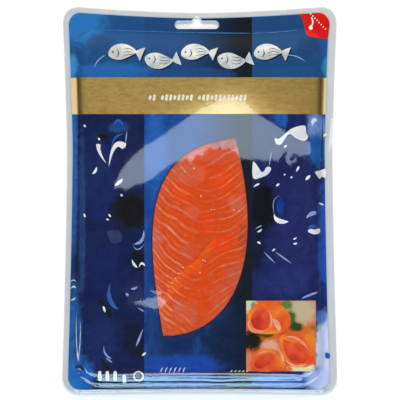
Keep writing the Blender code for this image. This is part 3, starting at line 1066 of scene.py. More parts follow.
def card_material():
    """Offset print on coated board: water in blue panels, a foil band and a dark line round the window. The
    foil has painted shade at the steps and a painted sheen on the flat margin.
    """
    colours = bpy.context.scene.pack_colours
    material, tree = new_material("coated_board_print")
    where = add(tree, "ShaderNodeTexCoord")
    place_on = where.outputs["Object"]
    axes = add(tree, "ShaderNodeSeparateXYZ", {0: place_on})
    x, y = axes.outputs[0], axes.outputs[1]
    ripple = add(
        tree,
        "ShaderNodeTexNoise",
        {"Vector": place_on, "Scale": per_metre(WATER_RIPPLES), "Detail": 4.0, "Distortion": 1.5},
    )
    cloud = add(
        tree,
        "ShaderNodeTexNoise",
        {"Vector": place_on, "Scale": per_metre(WATER_SWIRLS), "Detail": 4.0, "Distortion": 2.5},
    )

    # Each zone starts from a colour. Layers then cover it from one place to another, and soft fields
    # lie on top, broken up by the ripples of the water.
    top = (
        (x, -39.9, -39.3, "#204a80"),
        (x, -20.0, 32.0, colours.night),
        (x, 37.1, 37.7, "#1d4c7e"),
        (x, 78.0, 96.0, "#2360a0"),
    )
    sides = ((x, 0.0, 1.0, "#202a60"),)
    middle = ((x, -8.0, 33.0, "#171e28"),)
    zones = []
    for first, layers, fields in (
        ("#1e5288", top, TOP_FIELDS),
        ("#182450", sides, SIDE_FIELDS),
        ("#20509a", middle, MIDDLE_FIELDS),
    ):
        below = linear(first)
        for follows, empty, full, code in layers:
            mask = add(
                tree,
                "ShaderNodeMapRange",
                {"Value": follows, "From Min": empty * MM, "From Max": full * MM},
                interpolation_type="SMOOTHSTEP",
            )
            shade = linear(code) if isinstance(code, str) else code
            layer = add(tree, "ShaderNodeMix", {0: mask.outputs[0], 6: below, 7: shade}, data_type="RGBA")
            below = layer.outputs[2]
        below = spotted(tree, place_on, ripple.outputs["Fac"], below, fields)
        zones.append(below)
    top_zone, side_zone, middle_zone = zones

    # The middle panel over the sides, and faint swirls and glints in the water.
    panel = []
    for place_x in (LEFT_PANEL_X, RIGHT_PANEL_X):
        edge = add(
            tree,
            "ShaderNodeMapRange",
            {"Value": x, "From Min": (place_x - 0.25) * MM, "From Max": (place_x + 0.25) * MM},
        )
        panel.append(edge.outputs[0])
    panel = add(tree, "ShaderNodeMath", {0: panel[0], 1: panel[1]}, operation="SUBTRACT")
    low_zone = add(
        tree,
        "ShaderNodeMix",
        {0: panel.outputs[0], 6: side_zone, 7: middle_zone},
        data_type="RGBA",
    )
    swirl = add(
        tree,
        "ShaderNodeMapRange",
        {"Value": cloud.outputs["Fac"], "From Min": 0.42, "From Max": 0.72, "To Max": 0.5},
    )
    low_zone = add(
        tree,
        "ShaderNodeMix",
        {0: swirl.outputs[0], 6: low_zone.outputs[2], 7: linear("#2a4c8c")},
        data_type="RGBA",
        blend_type="SOFT_LIGHT",
    )

    # The foil: brushed along the pack, with crinkles, with painted shade where it bends at the steps and a
    # painted sheen on the flat margin.
    stretched = add(tree, "ShaderNodeMapping", {0: place_on, 3: (1.0, 2.6, 1.0)})
    crinkle = add(
        tree,
        "ShaderNodeTexNoise",
        {
            "Vector": stretched.outputs[0],
            "Scale": per_metre(FOIL_CRINKLES),
            "Detail": 4.0,
            "Distortion": 0.8,
        },
    )
    foil = add(
        tree,
        "ShaderNodeMapRange",
        {"Value": crinkle.outputs["Fac"], "From Min": 0.35, "From Max": 0.6},
    )
    foil = add(
        tree,
        "ShaderNodeMix",
        {0: foil.outputs[0], 6: colours.gold_shade, 7: colours.gold},
        data_type="RGBA",
    )
    slope = add(tree, "ShaderNodeAttribute", attribute_name="climb")
    flange = add(
        tree,
        "ShaderNodeMapRange",
        {"Value": slope.outputs["Fac"], "From Min": 0.02, "From Max": 0.0},
    )
    painted_step_shade = add(tree, "ShaderNodeAttribute", attribute_name="painted_step_shade")
    right = add(
        tree,
        "ShaderNodeMapRange",
        {"Value": x, "From Min": 0.015, "From Max": 0.08, "To Max": 0.3},
    )
    foil = foil.outputs[2]
    # Darker towards the right end, paler with a painted sheen on the flat margin, and darker with painted
    # shade on the steps.
    for mask, code in (
        (right.outputs[0], "#9c7c40"),
        (flange.outputs[0], "#f8e0a4"),
        (painted_step_shade.outputs["Fac"], "#86682e"),
    ):
        layer = add(tree, "ShaderNodeMix", {0: mask, 6: foil, 7: linear(code)}, data_type="RGBA")
        foil = layer.outputs[2]
    printed, edges = low_zone.outputs[2], []
    for colour, low_edge in ((foil, BAND_BOTTOM_Y), (top_zone, BAND_TOP_Y)):
        edge = add(
            tree,
            "ShaderNodeMapRange",
            {"Value": y, "From Min": (low_edge - 0.2) * MM, "From Max": (low_edge + 0.2) * MM},
        )
        edges.append(edge.outputs[0])
        layer = add(tree, "ShaderNodeMix", {0: edge.outputs[0], 6: printed, 7: colour}, data_type="RGBA")
        printed = layer.outputs[2]
    in_band = add(tree, "ShaderNodeMath", {0: edges[0], 1: edges[1]}, operation="SUBTRACT")
    metal = add(tree, "ShaderNodeMapRange", {"Value": flange.outputs[0], "To Min": 0.5, "To Max": 0.15})
    metal = add(tree, "ShaderNodeMath", {0: in_band.outputs[0], 1: metal.outputs[0]}, operation="MULTIPLY")
    rough = add(
        tree,
        "ShaderNodeMath",
        {0: in_band.outputs[0], 1: -0.3, 2: 0.38},
        operation="MULTIPLY_ADD",
    )
    leaf = add(tree, "ShaderNodeAttribute", attribute_name="leaf")
    line = add(
        tree,
        "ShaderNodeMapRange",
        {"Value": leaf.outputs["Fac"], "From Min": -0.75, "From Max": -0.45},
        interpolation_type="SMOOTHSTEP",
    )
    printed = add(
        tree,
        "ShaderNodeMix",
        {0: line.outputs["Result"], 6: printed, 7: colours.keyline},
        data_type="RGBA",
    )
    margin = add(tree, "ShaderNodeAttribute", attribute_name="margin")
    board = add(
        tree,
        "ShaderNodeMapRange",
        {"Value": margin.outputs["Fac"], "From Min": 0.5, "From Max": 0.2},
    )
    printed = add(
        tree,
        "ShaderNodeMix",
        {0: board.outputs[0], 6: printed.outputs[2], 7: linear("#b4cfe2")},
        data_type="RGBA",
    )
    relief = add(
        tree,
        "ShaderNodeMath",
        {0: crinkle.outputs["Fac"], 1: in_band.outputs[0]},
        operation="MULTIPLY",
    )
    bump = add(tree, "ShaderNodeBump", {"Height": relief.outputs[0], "Strength": 0.02, "Distance": 0.0004})
    shader = add(
        tree,
        "ShaderNodeBsdfPrincipled",
        {
            "Base Color": printed.outputs[2],
            "Roughness": rough.outputs[0],
            "Metallic": metal.outputs[0],
            "Specular IOR Level": 0.1,
            "Normal": bump.outputs["Normal"],
        },
    )
    add(tree, "ShaderNodeOutputMaterial", {"Surface": shader.outputs[0]})
    return material


def picture_material():
    """The ground of the small picture: greens, a pale plate and orange flesh, run into each other."""
    material, tree = new_material("picture_ground_ink")
    where = add(tree, "ShaderNodeTexCoord")
    place_on = where.outputs["Object"]
    ripple = add(
        tree,
        "ShaderNodeTexNoise",
        {"Vector": place_on, "Scale": per_metre(PICTURE_RIPPLES), "Detail": 4.0, "Distortion": 0.8},
    )
    colour = spotted(tree, place_on, ripple.outputs["Fac"], linear("#e06c2a"), PICTURE_FIELDS)
    shader = add(
        tree,
        "ShaderNodeBsdfPrincipled",
        {"Base Color": colour, "Roughness": 0.4, "Specular IOR Level": 0.1},
    )
    add(tree, "ShaderNodeOutputMaterial", {"Surface": shader.outputs[0]})
    return material


def ink_material(name, first, second, spacing=INK_SCREEN):
    """Printing ink, a little uneven from place to place as a printed screen is. It also colours the painted
    highlights and painted shade.
    """
    material, tree = new_material(name)
    where = add(tree, "ShaderNodeTexCoord")
    screen = add(
        tree,
        "ShaderNodeTexNoise",
        {"Vector": where.outputs["Object"], "Scale": per_metre(spacing), "Detail": 3.0, "Distortion": 0.5},
    )
    spread = add(
        tree,
        "ShaderNodeMapRange",
        {"Value": screen.outputs["Fac"], "From Min": 0.35, "From Max": 0.65},
    )
    tint = add(
        tree,
        "ShaderNodeMix",
        {0: spread.outputs[0], 6: linear(first), 7: linear(second)},
        data_type="RGBA",
    )
    shader = add(
        tree,
        "ShaderNodeBsdfPrincipled",
        {"Base Color": tint.outputs[2], "Roughness": 0.4, "Specular IOR Level": 0.25},
    )
    add(tree, "ShaderNodeOutputMaterial", {"Surface": shader.outputs[0]})
    return material


def clear_film_material():
    """Clear polyester film: seen only by what it reflects, and drawn into faint creases."""
    material, tree = new_material("clear_polyester_film")
    where = add(tree, "ShaderNodeTexCoord")
    slow = add(
        tree,
        "ShaderNodeTexNoise",
        {"Vector": where.outputs["Object"], "Scale": per_metre(FILM_CREASES), "Detail": 6.0},
    )
    # The film is drawn into level ridges on the step at the foot of the pack.
    axes = add(tree, "ShaderNodeSeparateXYZ", {0: where.outputs["Object"]})
    at_foot = add(
        tree,
        "ShaderNodeMapRange",
        {"Value": axes.outputs[1], "From Min": -0.119, "From Max": -0.124, "To Max": 4.2},
    )
    ridges = add(
        tree,
        "ShaderNodeTexWave",
        {
            "Vector": where.outputs["Object"],
            "Scale": math.pi / 10.0 * per_metre(FILM_RIDGES),
            "Distortion": 1.6,
            "Detail": 2.0,
            "Detail Scale": 0.6,
        },
        bands_direction="Y",
    )
    height = add(
        tree,
        "ShaderNodeMath",
        {0: ridges.outputs["Fac"], 1: at_foot.outputs[0], 2: slow.outputs["Fac"]},
        operation="MULTIPLY_ADD",
    )
    bump = add(tree, "ShaderNodeBump", {"Height": height.outputs[0], "Strength": 0.04, "Distance": 0.0004})
    shine = add(
        tree,
        "ShaderNodeBsdfGlossy",
        {"Color": (1.0, 1.0, 1.0, 1.0), "Roughness": 0.02, "Normal": bump.outputs["Normal"]},
    )
    clear = add(tree, "ShaderNodeBsdfTransparent", {"Color": (1.0, 1.0, 1.0, 1.0)})
    # The light isn't bent in so thin a film, so its outer face stands for both.
    one_face = add(tree, "ShaderNodeFresnel", {"IOR": 1.5})
    both = add(tree, "ShaderNodeMath", {0: one_face.outputs[0], 1: 1.9}, operation="MULTIPLY")
    side = add(tree, "ShaderNodeNewGeometry")
    amount = add(tree, "ShaderNodeMix", {0: side.outputs["Backfacing"], 2: both.outputs[0], 3: 0.0})
    mixed = add(
        tree,
        "ShaderNodeMixShader",
        {0: amount.outputs[0], 1: clear.outputs[0], 2: shine.outputs[0]},
    )
    add(tree, "ShaderNodeOutputMaterial", {"Surface": mixed.outputs[0]})
    return material


def salmon_material(name):
    """Cold smoked salmon: moist orange flesh in flakes, paler at its rims, with lines of fat between them."""
    colours = bpy.context.scene.pack_colours
    material, tree = new_material(name)
    where = add(tree, "ShaderNodeTexCoord")
    place_on = where.outputs["Object"]
    broad = add(
        tree,
        "ShaderNodeTexNoise",
        {"Vector": place_on, "Scale": per_metre(FLESH_PATCHES), "Detail": 5.0, "Distortion": 0.8},
    )
    fibre = add(
        tree,
        "ShaderNodeTexNoise",
        {"Vector": place_on, "Scale": per_metre(FLESH_FIBRES), "Detail": 3.0, "Distortion": 1.0},
    )
    phase = add(tree, "ShaderNodeAttribute", attribute_name="flake")
    rim = add(tree, "ShaderNodeAttribute", attribute_name="leaf")
    edge = add(tree, "ShaderNodeAttribute", attribute_name="overlap")
    axes = add(tree, "ShaderNodeSeparateXYZ", {0: place_on})
    along = add(tree, "ShaderNodeMath", {0: axes.outputs[0], 1: 60.0}, operation="MULTIPLY")
    flow = add(tree, "ShaderNodeCombineXYZ", {0: phase.outputs["Fac"], 1: along.outputs[0]})
    strand = add(
        tree,
        "ShaderNodeTexNoise",
        {"Vector": flow.outputs[0], "Scale": 2.6, "Detail": 4.0, "Roughness": 0.6},
    )
    shades = (
        (strand.outputs["Fac"], 0.50, 0.72, colours.flesh_deep, 0.8),
        (strand.outputs["Fac"], 0.48, 0.28, colours.flesh_pale, 0.8),
        (rim.outputs["Fac"], 7.0, 1.0, colours.flesh_pale, 0.3),
        (edge.outputs["Fac"], 0.25, 1.0, colours.flesh_edge, 0.8),
    )
    below = spotted(tree, place_on, broad.outputs["Fac"], colours.flesh, FLESH_FIELDS)
    for follows, empty, full, shade, strength in shades:
        mask = add(
            tree,
            "ShaderNodeMapRange",
            {"Value": follows, "From Min": empty, "From Max": full, "To Max": strength},
            interpolation_type="SMOOTHSTEP",
        )
        layer = add(tree, "ShaderNodeMix", {0: mask.outputs[0], 6: below, 7: shade}, data_type="RGBA")
        below = layer.outputs[2]
    wander = add(
        tree,
        "ShaderNodeMath",
        {0: fibre.outputs["Fac"], 1: 0.16, 2: phase.outputs["Fac"]},
        operation="MULTIPLY_ADD",
    )
    # The main lines lie between the flakes and fainter ones halfway. All are broader and stronger on
    # the left, and fade at the middle of the slice.
    away = add(tree, "ShaderNodeMath", {0: axes.outputs[0]}, operation="ABSOLUTE")
    fullest = add(
        tree,
        "ShaderNodeMapRange",
        {"Value": axes.outputs[0], "From Min": -0.004, "From Max": 0.012, "To Min": 1.1, "To Max": 0.7},
    )
    side = add(
        tree,
        "ShaderNodeMapRange",
        {
            "Value": away.outputs[0],
            "From Min": 0.003,
            "From Max": 0.02,
            "To Min": 0.12,
            "To Max": fullest.outputs[0],
        },
    )
    broadness = add(
        tree,
        "ShaderNodeMapRange",
        {"Value": axes.outputs[0], "From Min": -0.022, "From Max": 0.012, "To Min": 0.4, "To Max": 0.84},
    )
    both = []
    for offset, strength, empty, full in ((0.0, 0.7, 0.62, 0.44), (0.5, 0.3, 0.46, 0.62)):
        waves = add(
            tree,
            "ShaderNodeMath",
            {0: wander.outputs[0], 1: 2.0 * math.pi, 2: 2.0 * math.pi * offset},
            operation="MULTIPLY_ADD",
        )
        waves = add(tree, "ShaderNodeMath", {0: waves.outputs[0]}, operation="COSINE")
        line = add(
            tree,
            "ShaderNodeMapRange",
            {
                "Value": waves.outputs[0],
                "From Min": broadness.outputs[0],
                "From Max": 1.0,
                "To Max": strength,
            },
            interpolation_type="SMOOTHSTEP",
        )
        fade = add(
            tree,
            "ShaderNodeMapRange",
            {
                "Value": strand.outputs["Fac"],
                "From Min": empty,
                "From Max": full,
                "To Min": 0.12,
                "To Max": 1.0,
            },
        )
        line = add(tree, "ShaderNodeMath", {0: line.outputs[0], 1: fade.outputs[0]}, operation="MULTIPLY")
        both.append(line.outputs[0])
    lines = add(tree, "ShaderNodeMath", {0: both[0], 1: both[1]}, operation="MAXIMUM")
    line = add(tree, "ShaderNodeMath", {0: lines.outputs[0], 1: side.outputs[0]}, operation="MULTIPLY")
    fatty = add(tree, "ShaderNodeMix", {0: line.outputs[0], 6: below, 7: colours.fat}, data_type="RGBA")
    grain = add(
        tree,
        "ShaderNodeMapRange",
        {"Value": fibre.outputs["Fac"], "From Min": 0.3, "From Max": 0.7},
    )
    streaked = add(
        tree,
        "ShaderNodeMix",
        {0: 0.12, 6: fatty.outputs[2], 7: grain.outputs[0]},
        data_type="RGBA",
        blend_type="SOFT_LIGHT",
    )
    bump = add(
        tree,
        "ShaderNodeBump",
        {"Height": fibre.outputs["Fac"], "Strength": 0.25, "Distance": 0.0004},
    )
    shader = add(
        tree,
        "ShaderNodeBsdfPrincipled",
        {
            "Base Color": streaked.outputs[2],
            "Roughness": 0.4,
            "IOR": 1.4,
            "Specular IOR Level": 0.25,
            "Normal": bump.outputs["Normal"],
            "Subsurface Weight": 0.15,
            "Subsurface Radius": (0.0018, 0.0006, 0.0003),
            "Subsurface Scale": 1.0,
        },
    )
    add(tree, "ShaderNodeOutputMaterial", {"Surface": shader.outputs[0]})
    return material


# Pieces


class PACK_OT_lower_film(bpy.types.Operator):
    """Adds the stiff lower film that the pack rests on"""

    bl_idname = "salmon_pack.lower_film"
    bl_label = "Lower Film"

    def execute(self, context):
        sizes = context.scene.pack_sizes
        film = grid_sheet("lower_film_sheet", OUTLINE, LOWER_FILM_GRID)
        cut(film, slot_outline())
        apply_modifier(film, "SOLIDIFY", thickness=sizes.lower_film, offset=1.0)
        finish_piece(film, lower_film_material(), ["lower_film"])
        return {"FINISHED"}


class PACK_OT_card(bpy.types.Operator):
    """Adds the printed card, drawn down over the slices, with its leaf shaped window"""

    bl_idname = "salmon_pack.card"
    bl_label = "Printed Card"

    def execute(self, context):
        sizes = context.scene.pack_sizes
        card = grid_sheet("printed_card_sheet", CARD, sizes.grid / MM, CARD_X)
        cut(card, slot_outline())
        cut(card, leaf_outline())
        points = coordinates(card)
        x, y = points[:, 0], points[:, 1]
        points[:, 2] = (sizes.lower_film + sizes.gap) / MM + raised(x, y)
        place(card, points)
        up = climb(x, y)
        give(card, "leaf", distance_to_outline(x, y, leaf_outline()))
        give(card, "climb", up)
        # Where painted shade darkens the foil on the lower part of each step.
        give(card, "painted_step_shade", smooth(up / 0.1) * smooth((0.75 - up) / 0.3))
        give(card, "margin", card_depth(x, y))
        apply_modifier(card, "SOLIDIFY", thickness=sizes.card, offset=1.0)
        finish_piece(card, card_material(), ["printed_card"])
        return {"FINISHED"}


class PACK_OT_water_print(bpy.types.Operator):
    """Adds the drops and glints printed on the side panels, and painted highlights and painted shade on the
    steps, at the folds and along the foot of the raised middle
    """

    bl_idname = "salmon_pack.water_print"
    bl_label = "Water Print"

    def execute(self, context):
        groups = (
            ("dark_water", DARK_SHAPES, 0, "#0c0d12", "#15161c"),
            ("faint_bubbles", FAINT_BUBBLES, 0, "#2a3260", "#3a4470"),
            ("bright_water", BRIGHT_SHAPES, 1, "#1e4c9c", "#2c66b0"),
            ("pale_print_glints_and_painted_crest_highlights", PALE_PRINT_GLINTS_AND_PAINTED_CREST_HIGHLIGHTS, 2, "#7f95cc", "#a3b4dc"),
            ("white_glints", WHITE_GLINTS, 3, "#dfe6f2", "#f4f6fa"),
            # Painted shade of the folds and steps, then painted highlights on the steps with a few glints of
            # the print.
            ("painted_fold_and_step_shade", PAINTED_FOLD_AND_STEP_SHADE, 6, "#14284c", "#1a345c"),
            ("print_glints_and_painted_step_highlights", PRINT_GLINTS_AND_PAINTED_STEP_HIGHLIGHTS, 8, "#b4c4dc", "#f0f2f6"),
        )
        for name, shapes, level, first, second in groups:
            pieces = [ribbon(*shape) for shape in shapes]
            lay_on_card(name, pieces, level, ink_material(name + "_ink", first, second))
        # Painted highlights along the foot of the slope at the top of the pack.
        lines = [ribbon(*shape, bar_width, 60) for shape in PAINTED_FOOT_HIGHLIGHTS]
        lay_on_card("painted_foot_highlights", lines, 7, ink_material("painted_foot_highlight_ink", "#2f6496", "#4480b0"))
        drops = [patch(rounded_line(outline, 3), 1) for outline in CREAM_DROPS]
        drops.extend(ribbon(*shape, comma_width, 20) for shape in COMMA_GLINTS)
        lay_on_card(
            "cream_drops", drops, 7, ink_material("cream_drop_ink", "#dcdfe4", "#eeeae4", INK_PATCHES)
        )
        return {"FINISHED"}


class PACK_OT_silver_fish(bpy.types.Operator):
    """Adds the row of leaping fish above the band, each with its shadow"""

    bl_idname = "salmon_pack.silver_fish"
    bl_label = "Silver Fish"

    def execute(self, context):
        first, last = SILVER_FISH_SPAN
        pitch = (last - first) / SILVER_FISH_COUNT
        shadows, bodies, lines = [], [], []
        for number in range(SILVER_FISH_COUNT):
            x = first + pitch * (number + 0.5)
            side = 1.0 if number % 2 == 0 else -1.0
            y = SILVER_FISH_Y + side * LEAP
            half = 0.47 * pitch
            nose, back, tail = (x - half, y - side * 1.8), (x, y + side * 1.4), (x + half, y - side * 0.8)
            bodies.append(ribbon(nose, back, tail, FISH_DEPTH, fish_width, 36))
            shifted = [(px + 0.9, py - 0.8) for px, py in (nose, back, tail)]
            shadows.append(ribbon(*shifted, FISH_DEPTH, fish_width, 36))
            gill = x - half * 0.5
            lines.append(ribbon((gill - 0.4, y + 3.4), (gill + 1.2, y), (gill - 0.6, y - 3.2), 0.8))
            eye = ((gill - 3.6, y + 0.6), (gill - 3.0, y + 0.7), (gill - 2.4, y + 0.6))
            lines.append(ribbon(*eye, 1.2, bar_width))
            for row in (-2.2, 0.0, 2.2):
                flank = ((gill + 3.4, y + row), (x + 2.0, y + row + side), (x + half * 0.5, y + row * 0.4))
                lines.append(ribbon(*flank, 0.45))
        lay_on_card("fish_shadows", shadows, 0, ink_material("shadow_ink", "#0a0d14", "#101420"))
        lay_on_card("silver_fish", bodies, 2, ink_material("silver_ink", "#b9bec0", "#dfe2e0", 8.333))
        lay_on_card("fish_lines", lines, 3, ink_material("fish_line_ink", "#38424c", "#28323c"))
        return {"FINISHED"}


class PACK_OT_small_print(bpy.types.Operator):
    """Adds the lozenges on the band, the marks at the foot and the corner tab"""

    bl_idname = "salmon_pack.small_print"
    bl_label = "Small Print"

    def execute(self, context):
        lozenges = []
        first, y = LOZENGE_START
        for number in range(LOZENGE_PLACES):
            x = first + number * LOZENGE_PITCH
            if number in LOZENGE_GAPS:
                continue
            tall = 2.3 if number % 3 else 1.6
            lozenges.append(ribbon((x - 0.4, y - tall), (x, y), (x + 0.4, y + tall), 1.9, bar_width))
        lay_on_card("band_lozenges", lozenges, 1, ink_material("lozenge_ink", "#e6dcc4", "#f4eee0"))

        marks = []
        for x, low, high in FOOT_BARS:
            marks.append(ribbon((x, low), (x, (low + high) / 2.0), (x, high), 2.5, bar_width))
        for turn in np.radians(np.arange(0, 360, 60)):
            turns = turn + np.array((0.0, math.pi / 6.0, math.pi / 3.0 + 0.03))
            spots = np.array(RING_CENTRE) + RING_RADIUS * np.column_stack((np.cos(turns), np.sin(turns)))
            marks.append(ribbon(*spots, 0.9, np.ones_like, 8))
        for x in np.arange(-28.0, -10.0, 3.2):
            marks.append(ribbon((x, -124.0), (x + 0.6, -121.5), (x + 2.0, -119.8), 0.6))
        for x in np.arange(22.0, 36.0, 2.8):
            marks.append(ribbon((x, -123.6), (x + 0.6, -122.6), (x + 1.6, -122.0), 0.6))
        lay_on_card("foot_marks", marks, 1, ink_material("foot_mark_ink", "#e8ecf2", "#f8f8fa"))

        half_width, top, _, radius, _ = CARD
        angle = np.radians(np.linspace(5.0, 85.0, 9))
        corner_x = half_width - radius + (radius - 0.3) * np.cos(angle)
        corner_y = top - radius + (radius - 0.3) * np.sin(angle)
        corner = np.column_stack(waisted(corner_x, corner_y))
        edge = np.column_stack(waisted(np.array([78.0, 71.5]), np.array([134.3, 134.3])))
        side = np.column_stack(waisted(np.array([92.8]), np.array([115.2])))
        inner = [(73.4, 130.0), (75.0, 124.6), (76.0, 119.8), (77.0, 118.0), (79.4, 116.8)]
        tab = np.vstack((side, corner, edge, inner))
        red = ink_material("tab_ink", "#d40a00", "#de1400")
        lay_on_card("corner_tab", [patch(tab, 7)], 2, red)
        arrow = [
            ribbon((79.8, 131.0), (81.0, 128.0), (80.3, 124.5), 1.0, bar_width),
            ribbon((79.9, 125.4), (79.6, 123.4), (79.2, 121.8), 3.0),
        ]
        for number in range(8):
            x, y = 79.5 + number * 1.5, 133.2 - number * 1.55
            arrow.append(ribbon((x - 0.5, y - 0.5), (x, y), (x + 0.55, y + 0.6), 0.85))
        lay_on_card("tab_marks", arrow, 4, ink_material("tab_mark_ink", "#f2e8e4", "#ffffff"))
        return {"FINISHED"}


class PACK_OT_serving_picture(bpy.types.Operator):
    """Adds the small picture of rolled slices in the lower right corner"""

    bl_idname = "salmon_pack.serving_picture"
    bl_label = "Serving Picture"

    def execute(self, context):
        left, right, low, high = PICTURE_BOX
        frame_line = ((left, low), (right, low), (right, high), (left, high))
        lay_on_card("picture_ground", [patch(frame_line, 31)], 0, picture_material())
        rolls = [patch(rounded_line(outline)) for outline in PICTURE_ROLLS]
        lay_on_card(
            "picture_rolls", rolls, 2, ink_material("picture_roll_ink", "#e8501c", "#f7922c", 16.129)
        )
        rims = [ribbon(*rim) for rim in PICTURE_RIMS]
        lay_on_card(
            "picture_rims", rims, 4, ink_material("picture_rim_ink", "#ee8058", "#f6bc98", INK_PATCHES)
        )
        hearts = [patch(rounded_line(outline)) for outline in PICTURE_HEARTS]
        lay_on_card(
            "picture_hearts", hearts, 5, ink_material("picture_heart_ink", "#cc3018", "#f05c34", 12.5)
        )
        return {"FINISHED"}


class PACK_OT_slices(bpy.types.Operator):
    """Adds the two slices of salmon, one lying over the edge of the other"""

    bl_idname = "salmon_pack.slices"
    bl_label = "Salmon Slices"

    def execute(self, context):
        line = overlap_line()
        shifted = line + np.array(TUCK_WAY) * TUCK
        beyond = np.vstack((shifted, (OUT, 60.0), (OUT, -OUT), (-100.0, -OUT)))
        before = np.vstack((line, (OUT, 60.0), (OUT, OUT), (-OUT, OUT), (-OUT, -130.0)))
        for name, outside, heights, flakes in (
            ("upper_slice", beyond, upper_slice_heights, flake_phase),
            ("lower_slice", before, lower_slice_heights, lower_flakes),
        ):
            piece = slab(name + "_flesh", outside, heights)
            points = coordinates(piece)
            x, y = points[:, 0], points[:, 1]
            give(piece, "flake", flakes(x, y))
            give(piece, "leaf", distance_to_outline(x, y, leaf_outline()))
            past = past_overlap(x, y)
            near = 1.0 - np.abs(past - 2.0) / 7.0 if name == "lower_slice" else np.zeros_like(x)
            give(piece, "overlap", np.clip(near, 0.0, 1.0) * proud(x))
            finish_piece(piece, salmon_material("smoked_" + name), [name], 60.0)
        # Painted highlights: small pale glints laid on the moist flesh.
        glint_spots = join([patch(oval(*glint_spot, 20.0, 10), 1) for glint_spot in PAINTED_FLESH_GLINTS], "painted_flesh_glints")
        points = coordinates(glint_spots)
        x, y = points[:, 0], points[:, 1]
        points[:, 2] = slice_top(x, y, lower_flakes(x, y)) + 0.12
        place(glint_spots, points)
        face_up(glint_spots)
        apply_modifier(glint_spots, "SOLIDIFY", thickness=0.06 * MM, offset=-1.0)
        finish_piece(glint_spots, ink_material("painted_flesh_glint_ink", "#f4b48c", "#fadcc4"), [])
        return {"FINISHED"}


class PACK_OT_clear_film(bpy.types.Operator):
    """Adds the clear film that seals the pack"""

    bl_idname = "salmon_pack.clear_film"
    bl_label = "Clear Film"

    def execute(self, context):
        sizes = context.scene.pack_sizes
        film = grid_sheet("clear_film_sheet", OUTLINE, sizes.grid / MM)
        cut(film, slot_outline())
        points = coordinates(film)
        x, y = points[:, 0], points[:, 1]
        points[:, 2] = film_height(x, y)
        place(film, points)
        apply_modifier(film, "SOLIDIFY", thickness=sizes.clear_film, offset=1.0)
        finish_piece(film, clear_film_material(), ["clear_film"])
        return {"FINISHED"}


# Stage

# In metres, but for the sensor, which is in millimetres.
CAMERA_HEIGHT = 1.6
CAMERA_X = 0.00018
CAMERA_Y = -0.00018
PANEL_HEIGHT = 2.2
VIEW_WIDTH = 0.287
FLOOR_SIZE = 6.0
FLOOR_DROP = 0.0002
SENSOR = 36.0


def mirrored(outline):
    """Where the sight lines to these points of the film meet the height of the bright panel."""
    spots = []
    for x, y in outline:
        xs, ys = np.array([x - 0.5, x + 0.5, x, x]), np.array([y, y, y - 0.5, y + 0.5])
        heights = film_height(xs, ys)
        normal = np.array((heights[0] - heights[1], heights[2] - heights[3], 1.0))
        normal /= np.linalg.norm(normal)
        sight = np.array((x * MM, y * MM, -CAMERA_HEIGHT))
        bounced = sight - 2.0 * np.dot(sight, normal) * normal
        reach = PANEL_HEIGHT / bounced[2]
        spots.append((x * MM + bounced[0] * reach, y * MM + bounced[1] * reach))
    return np.array(spots) / MM


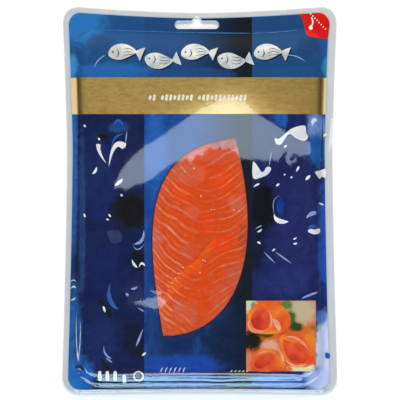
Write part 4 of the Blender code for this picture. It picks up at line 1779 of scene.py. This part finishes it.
class PACK_OT_stage(bpy.types.Operator):
    """Adds the pale floor, the soft lights and the camera that looks straight down"""

    bl_idname = "salmon_pack.stage"
    bl_label = "Stage"

    def execute(self, context):
        scene = context.scene
        clear_selection()
        bpy.ops.mesh.primitive_plane_add(size=FLOOR_SIZE, location=(0.0, 0.0, -FLOOR_DROP))
        floor = start("floor")
        material, tree = new_material("white_paper_sweep")
        shader = add(
            tree,
            "ShaderNodeBsdfPrincipled",
            {"Base Color": (0.96, 0.96, 0.96, 1.0), "Roughness": 0.9, "Specular IOR Level": 0.0},
        )
        add(tree, "ShaderNodeOutputMaterial", {"Surface": shader.outputs[0]})
        floor.data.materials.append(material)

        shapes = (BRIGHT_PATCH, BRIGHT_WEDGE, BRIGHT_SPOT)
        panel = join([patch(mirrored(shape), 0) for shape in shapes], "bright_panels")
        points = coordinates(panel)
        points[:, 2] = PANEL_HEIGHT / MM
        place(panel, points)
        material, tree = new_material("lit_diffuser")
        glow = add(tree, "ShaderNodeEmission", {"Color": (0.64, 0.8, 0.94, 1.0), "Strength": 3.6})
        add(tree, "ShaderNodeOutputMaterial", {"Surface": glow.outputs[0]})
        panel.data.materials.append(material)

        world = bpy.data.worlds.new("studio")
        world.use_nodes = True
        world.node_tree.nodes["Background"].inputs["Color"].default_value = (0.9, 0.95, 1.0, 1.0)
        world.node_tree.nodes["Background"].inputs["Strength"].default_value = 0.05
        scene.world = world

        # Each light: its lean from straight up, how far off it is, its sides, its power and its tint.
        lights = (
            ("upper_front_box", -38.0, 1.9, 2.6, 0.46, 15.5, (1.0, 0.97, 0.93)),
            ("middle_front_box", -53.0, 1.9, 2.6, 0.226, 14.4, (0.48, 0.77, 1.0)),
            ("lower_front_box", -60.6, 1.9, 2.6, 0.173, 11.0, (0.48, 0.77, 1.0)),
            ("back_box", 66.0, 2.5, 3.0, 0.9, 122.0, (1.0, 0.92, 0.86)),
        )
        for name, lean, distance, width, height, power, tint in lights:
            turn = math.radians(lean)
            clear_selection()
            bpy.ops.object.light_add(
                type="AREA",
                location=(0.0, distance * math.sin(turn), distance * math.cos(turn)),
                rotation=(-turn, 0.0, 0.0),
            )
            light = bpy.context.object
            light.name = name
            light.data.shape = "RECTANGLE"
            light.data.size = width
            light.data.size_y = height
            light.data.energy = power
            light.data.color = tint

        clear_selection()
        bpy.ops.object.camera_add(location=(CAMERA_X, CAMERA_Y, CAMERA_HEIGHT), rotation=(0.0, 0.0, 0.0))
        camera = bpy.context.object
        camera.data.sensor_width = SENSOR
        camera.data.lens = SENSOR * CAMERA_HEIGHT / VIEW_WIDTH
        camera.data.clip_end = 20.0
        scene.camera = camera
        scene.view_settings.view_transform = "Standard"
        return {"FINISHED"}


class PACK_PT_panel(bpy.types.Panel):
    """Lists the pieces of the pack"""

    bl_label = "Salmon Pack"
    bl_idname = "PACK_PT_panel"
    bl_space_type = "VIEW_3D"
    bl_region_type = "UI"
    bl_category = "Salmon Pack"

    def draw(self, context):
        for operator in OPERATORS:
            self.layout.operator(operator.bl_idname)
        for group in (context.scene.pack_sizes, context.scene.pack_colours):
            for name in group.__annotations__:
                self.layout.prop(group, name)


OPERATORS = (
    PACK_OT_lower_film,
    PACK_OT_card,
    PACK_OT_water_print,
    PACK_OT_silver_fish,
    PACK_OT_small_print,
    PACK_OT_serving_picture,
    PACK_OT_slices,
    PACK_OT_clear_film,
    PACK_OT_stage,
)
CLASSES = (PackSizes, PackColours, *OPERATORS, PACK_PT_panel)


def register():
    for item in CLASSES:
        bpy.utils.register_class(item)
    bpy.types.Scene.pack_sizes = bpy.props.PointerProperty(type=PackSizes)
    bpy.types.Scene.pack_colours = bpy.props.PointerProperty(type=PackColours)


def unregister():
    del bpy.types.Scene.pack_colours
    del bpy.types.Scene.pack_sizes
    for item in reversed(CLASSES):
        bpy.utils.unregister_class(item)


def main():
    register()
    bpy.ops.salmon_pack.lower_film()
    bpy.ops.salmon_pack.card()
    bpy.ops.salmon_pack.water_print()
    bpy.ops.salmon_pack.silver_fish()
    bpy.ops.salmon_pack.small_print()
    bpy.ops.salmon_pack.serving_picture()
    bpy.ops.salmon_pack.slices()
    bpy.ops.salmon_pack.clear_film()
    bpy.ops.salmon_pack.stage()


if __name__ == "__main__":
    main()
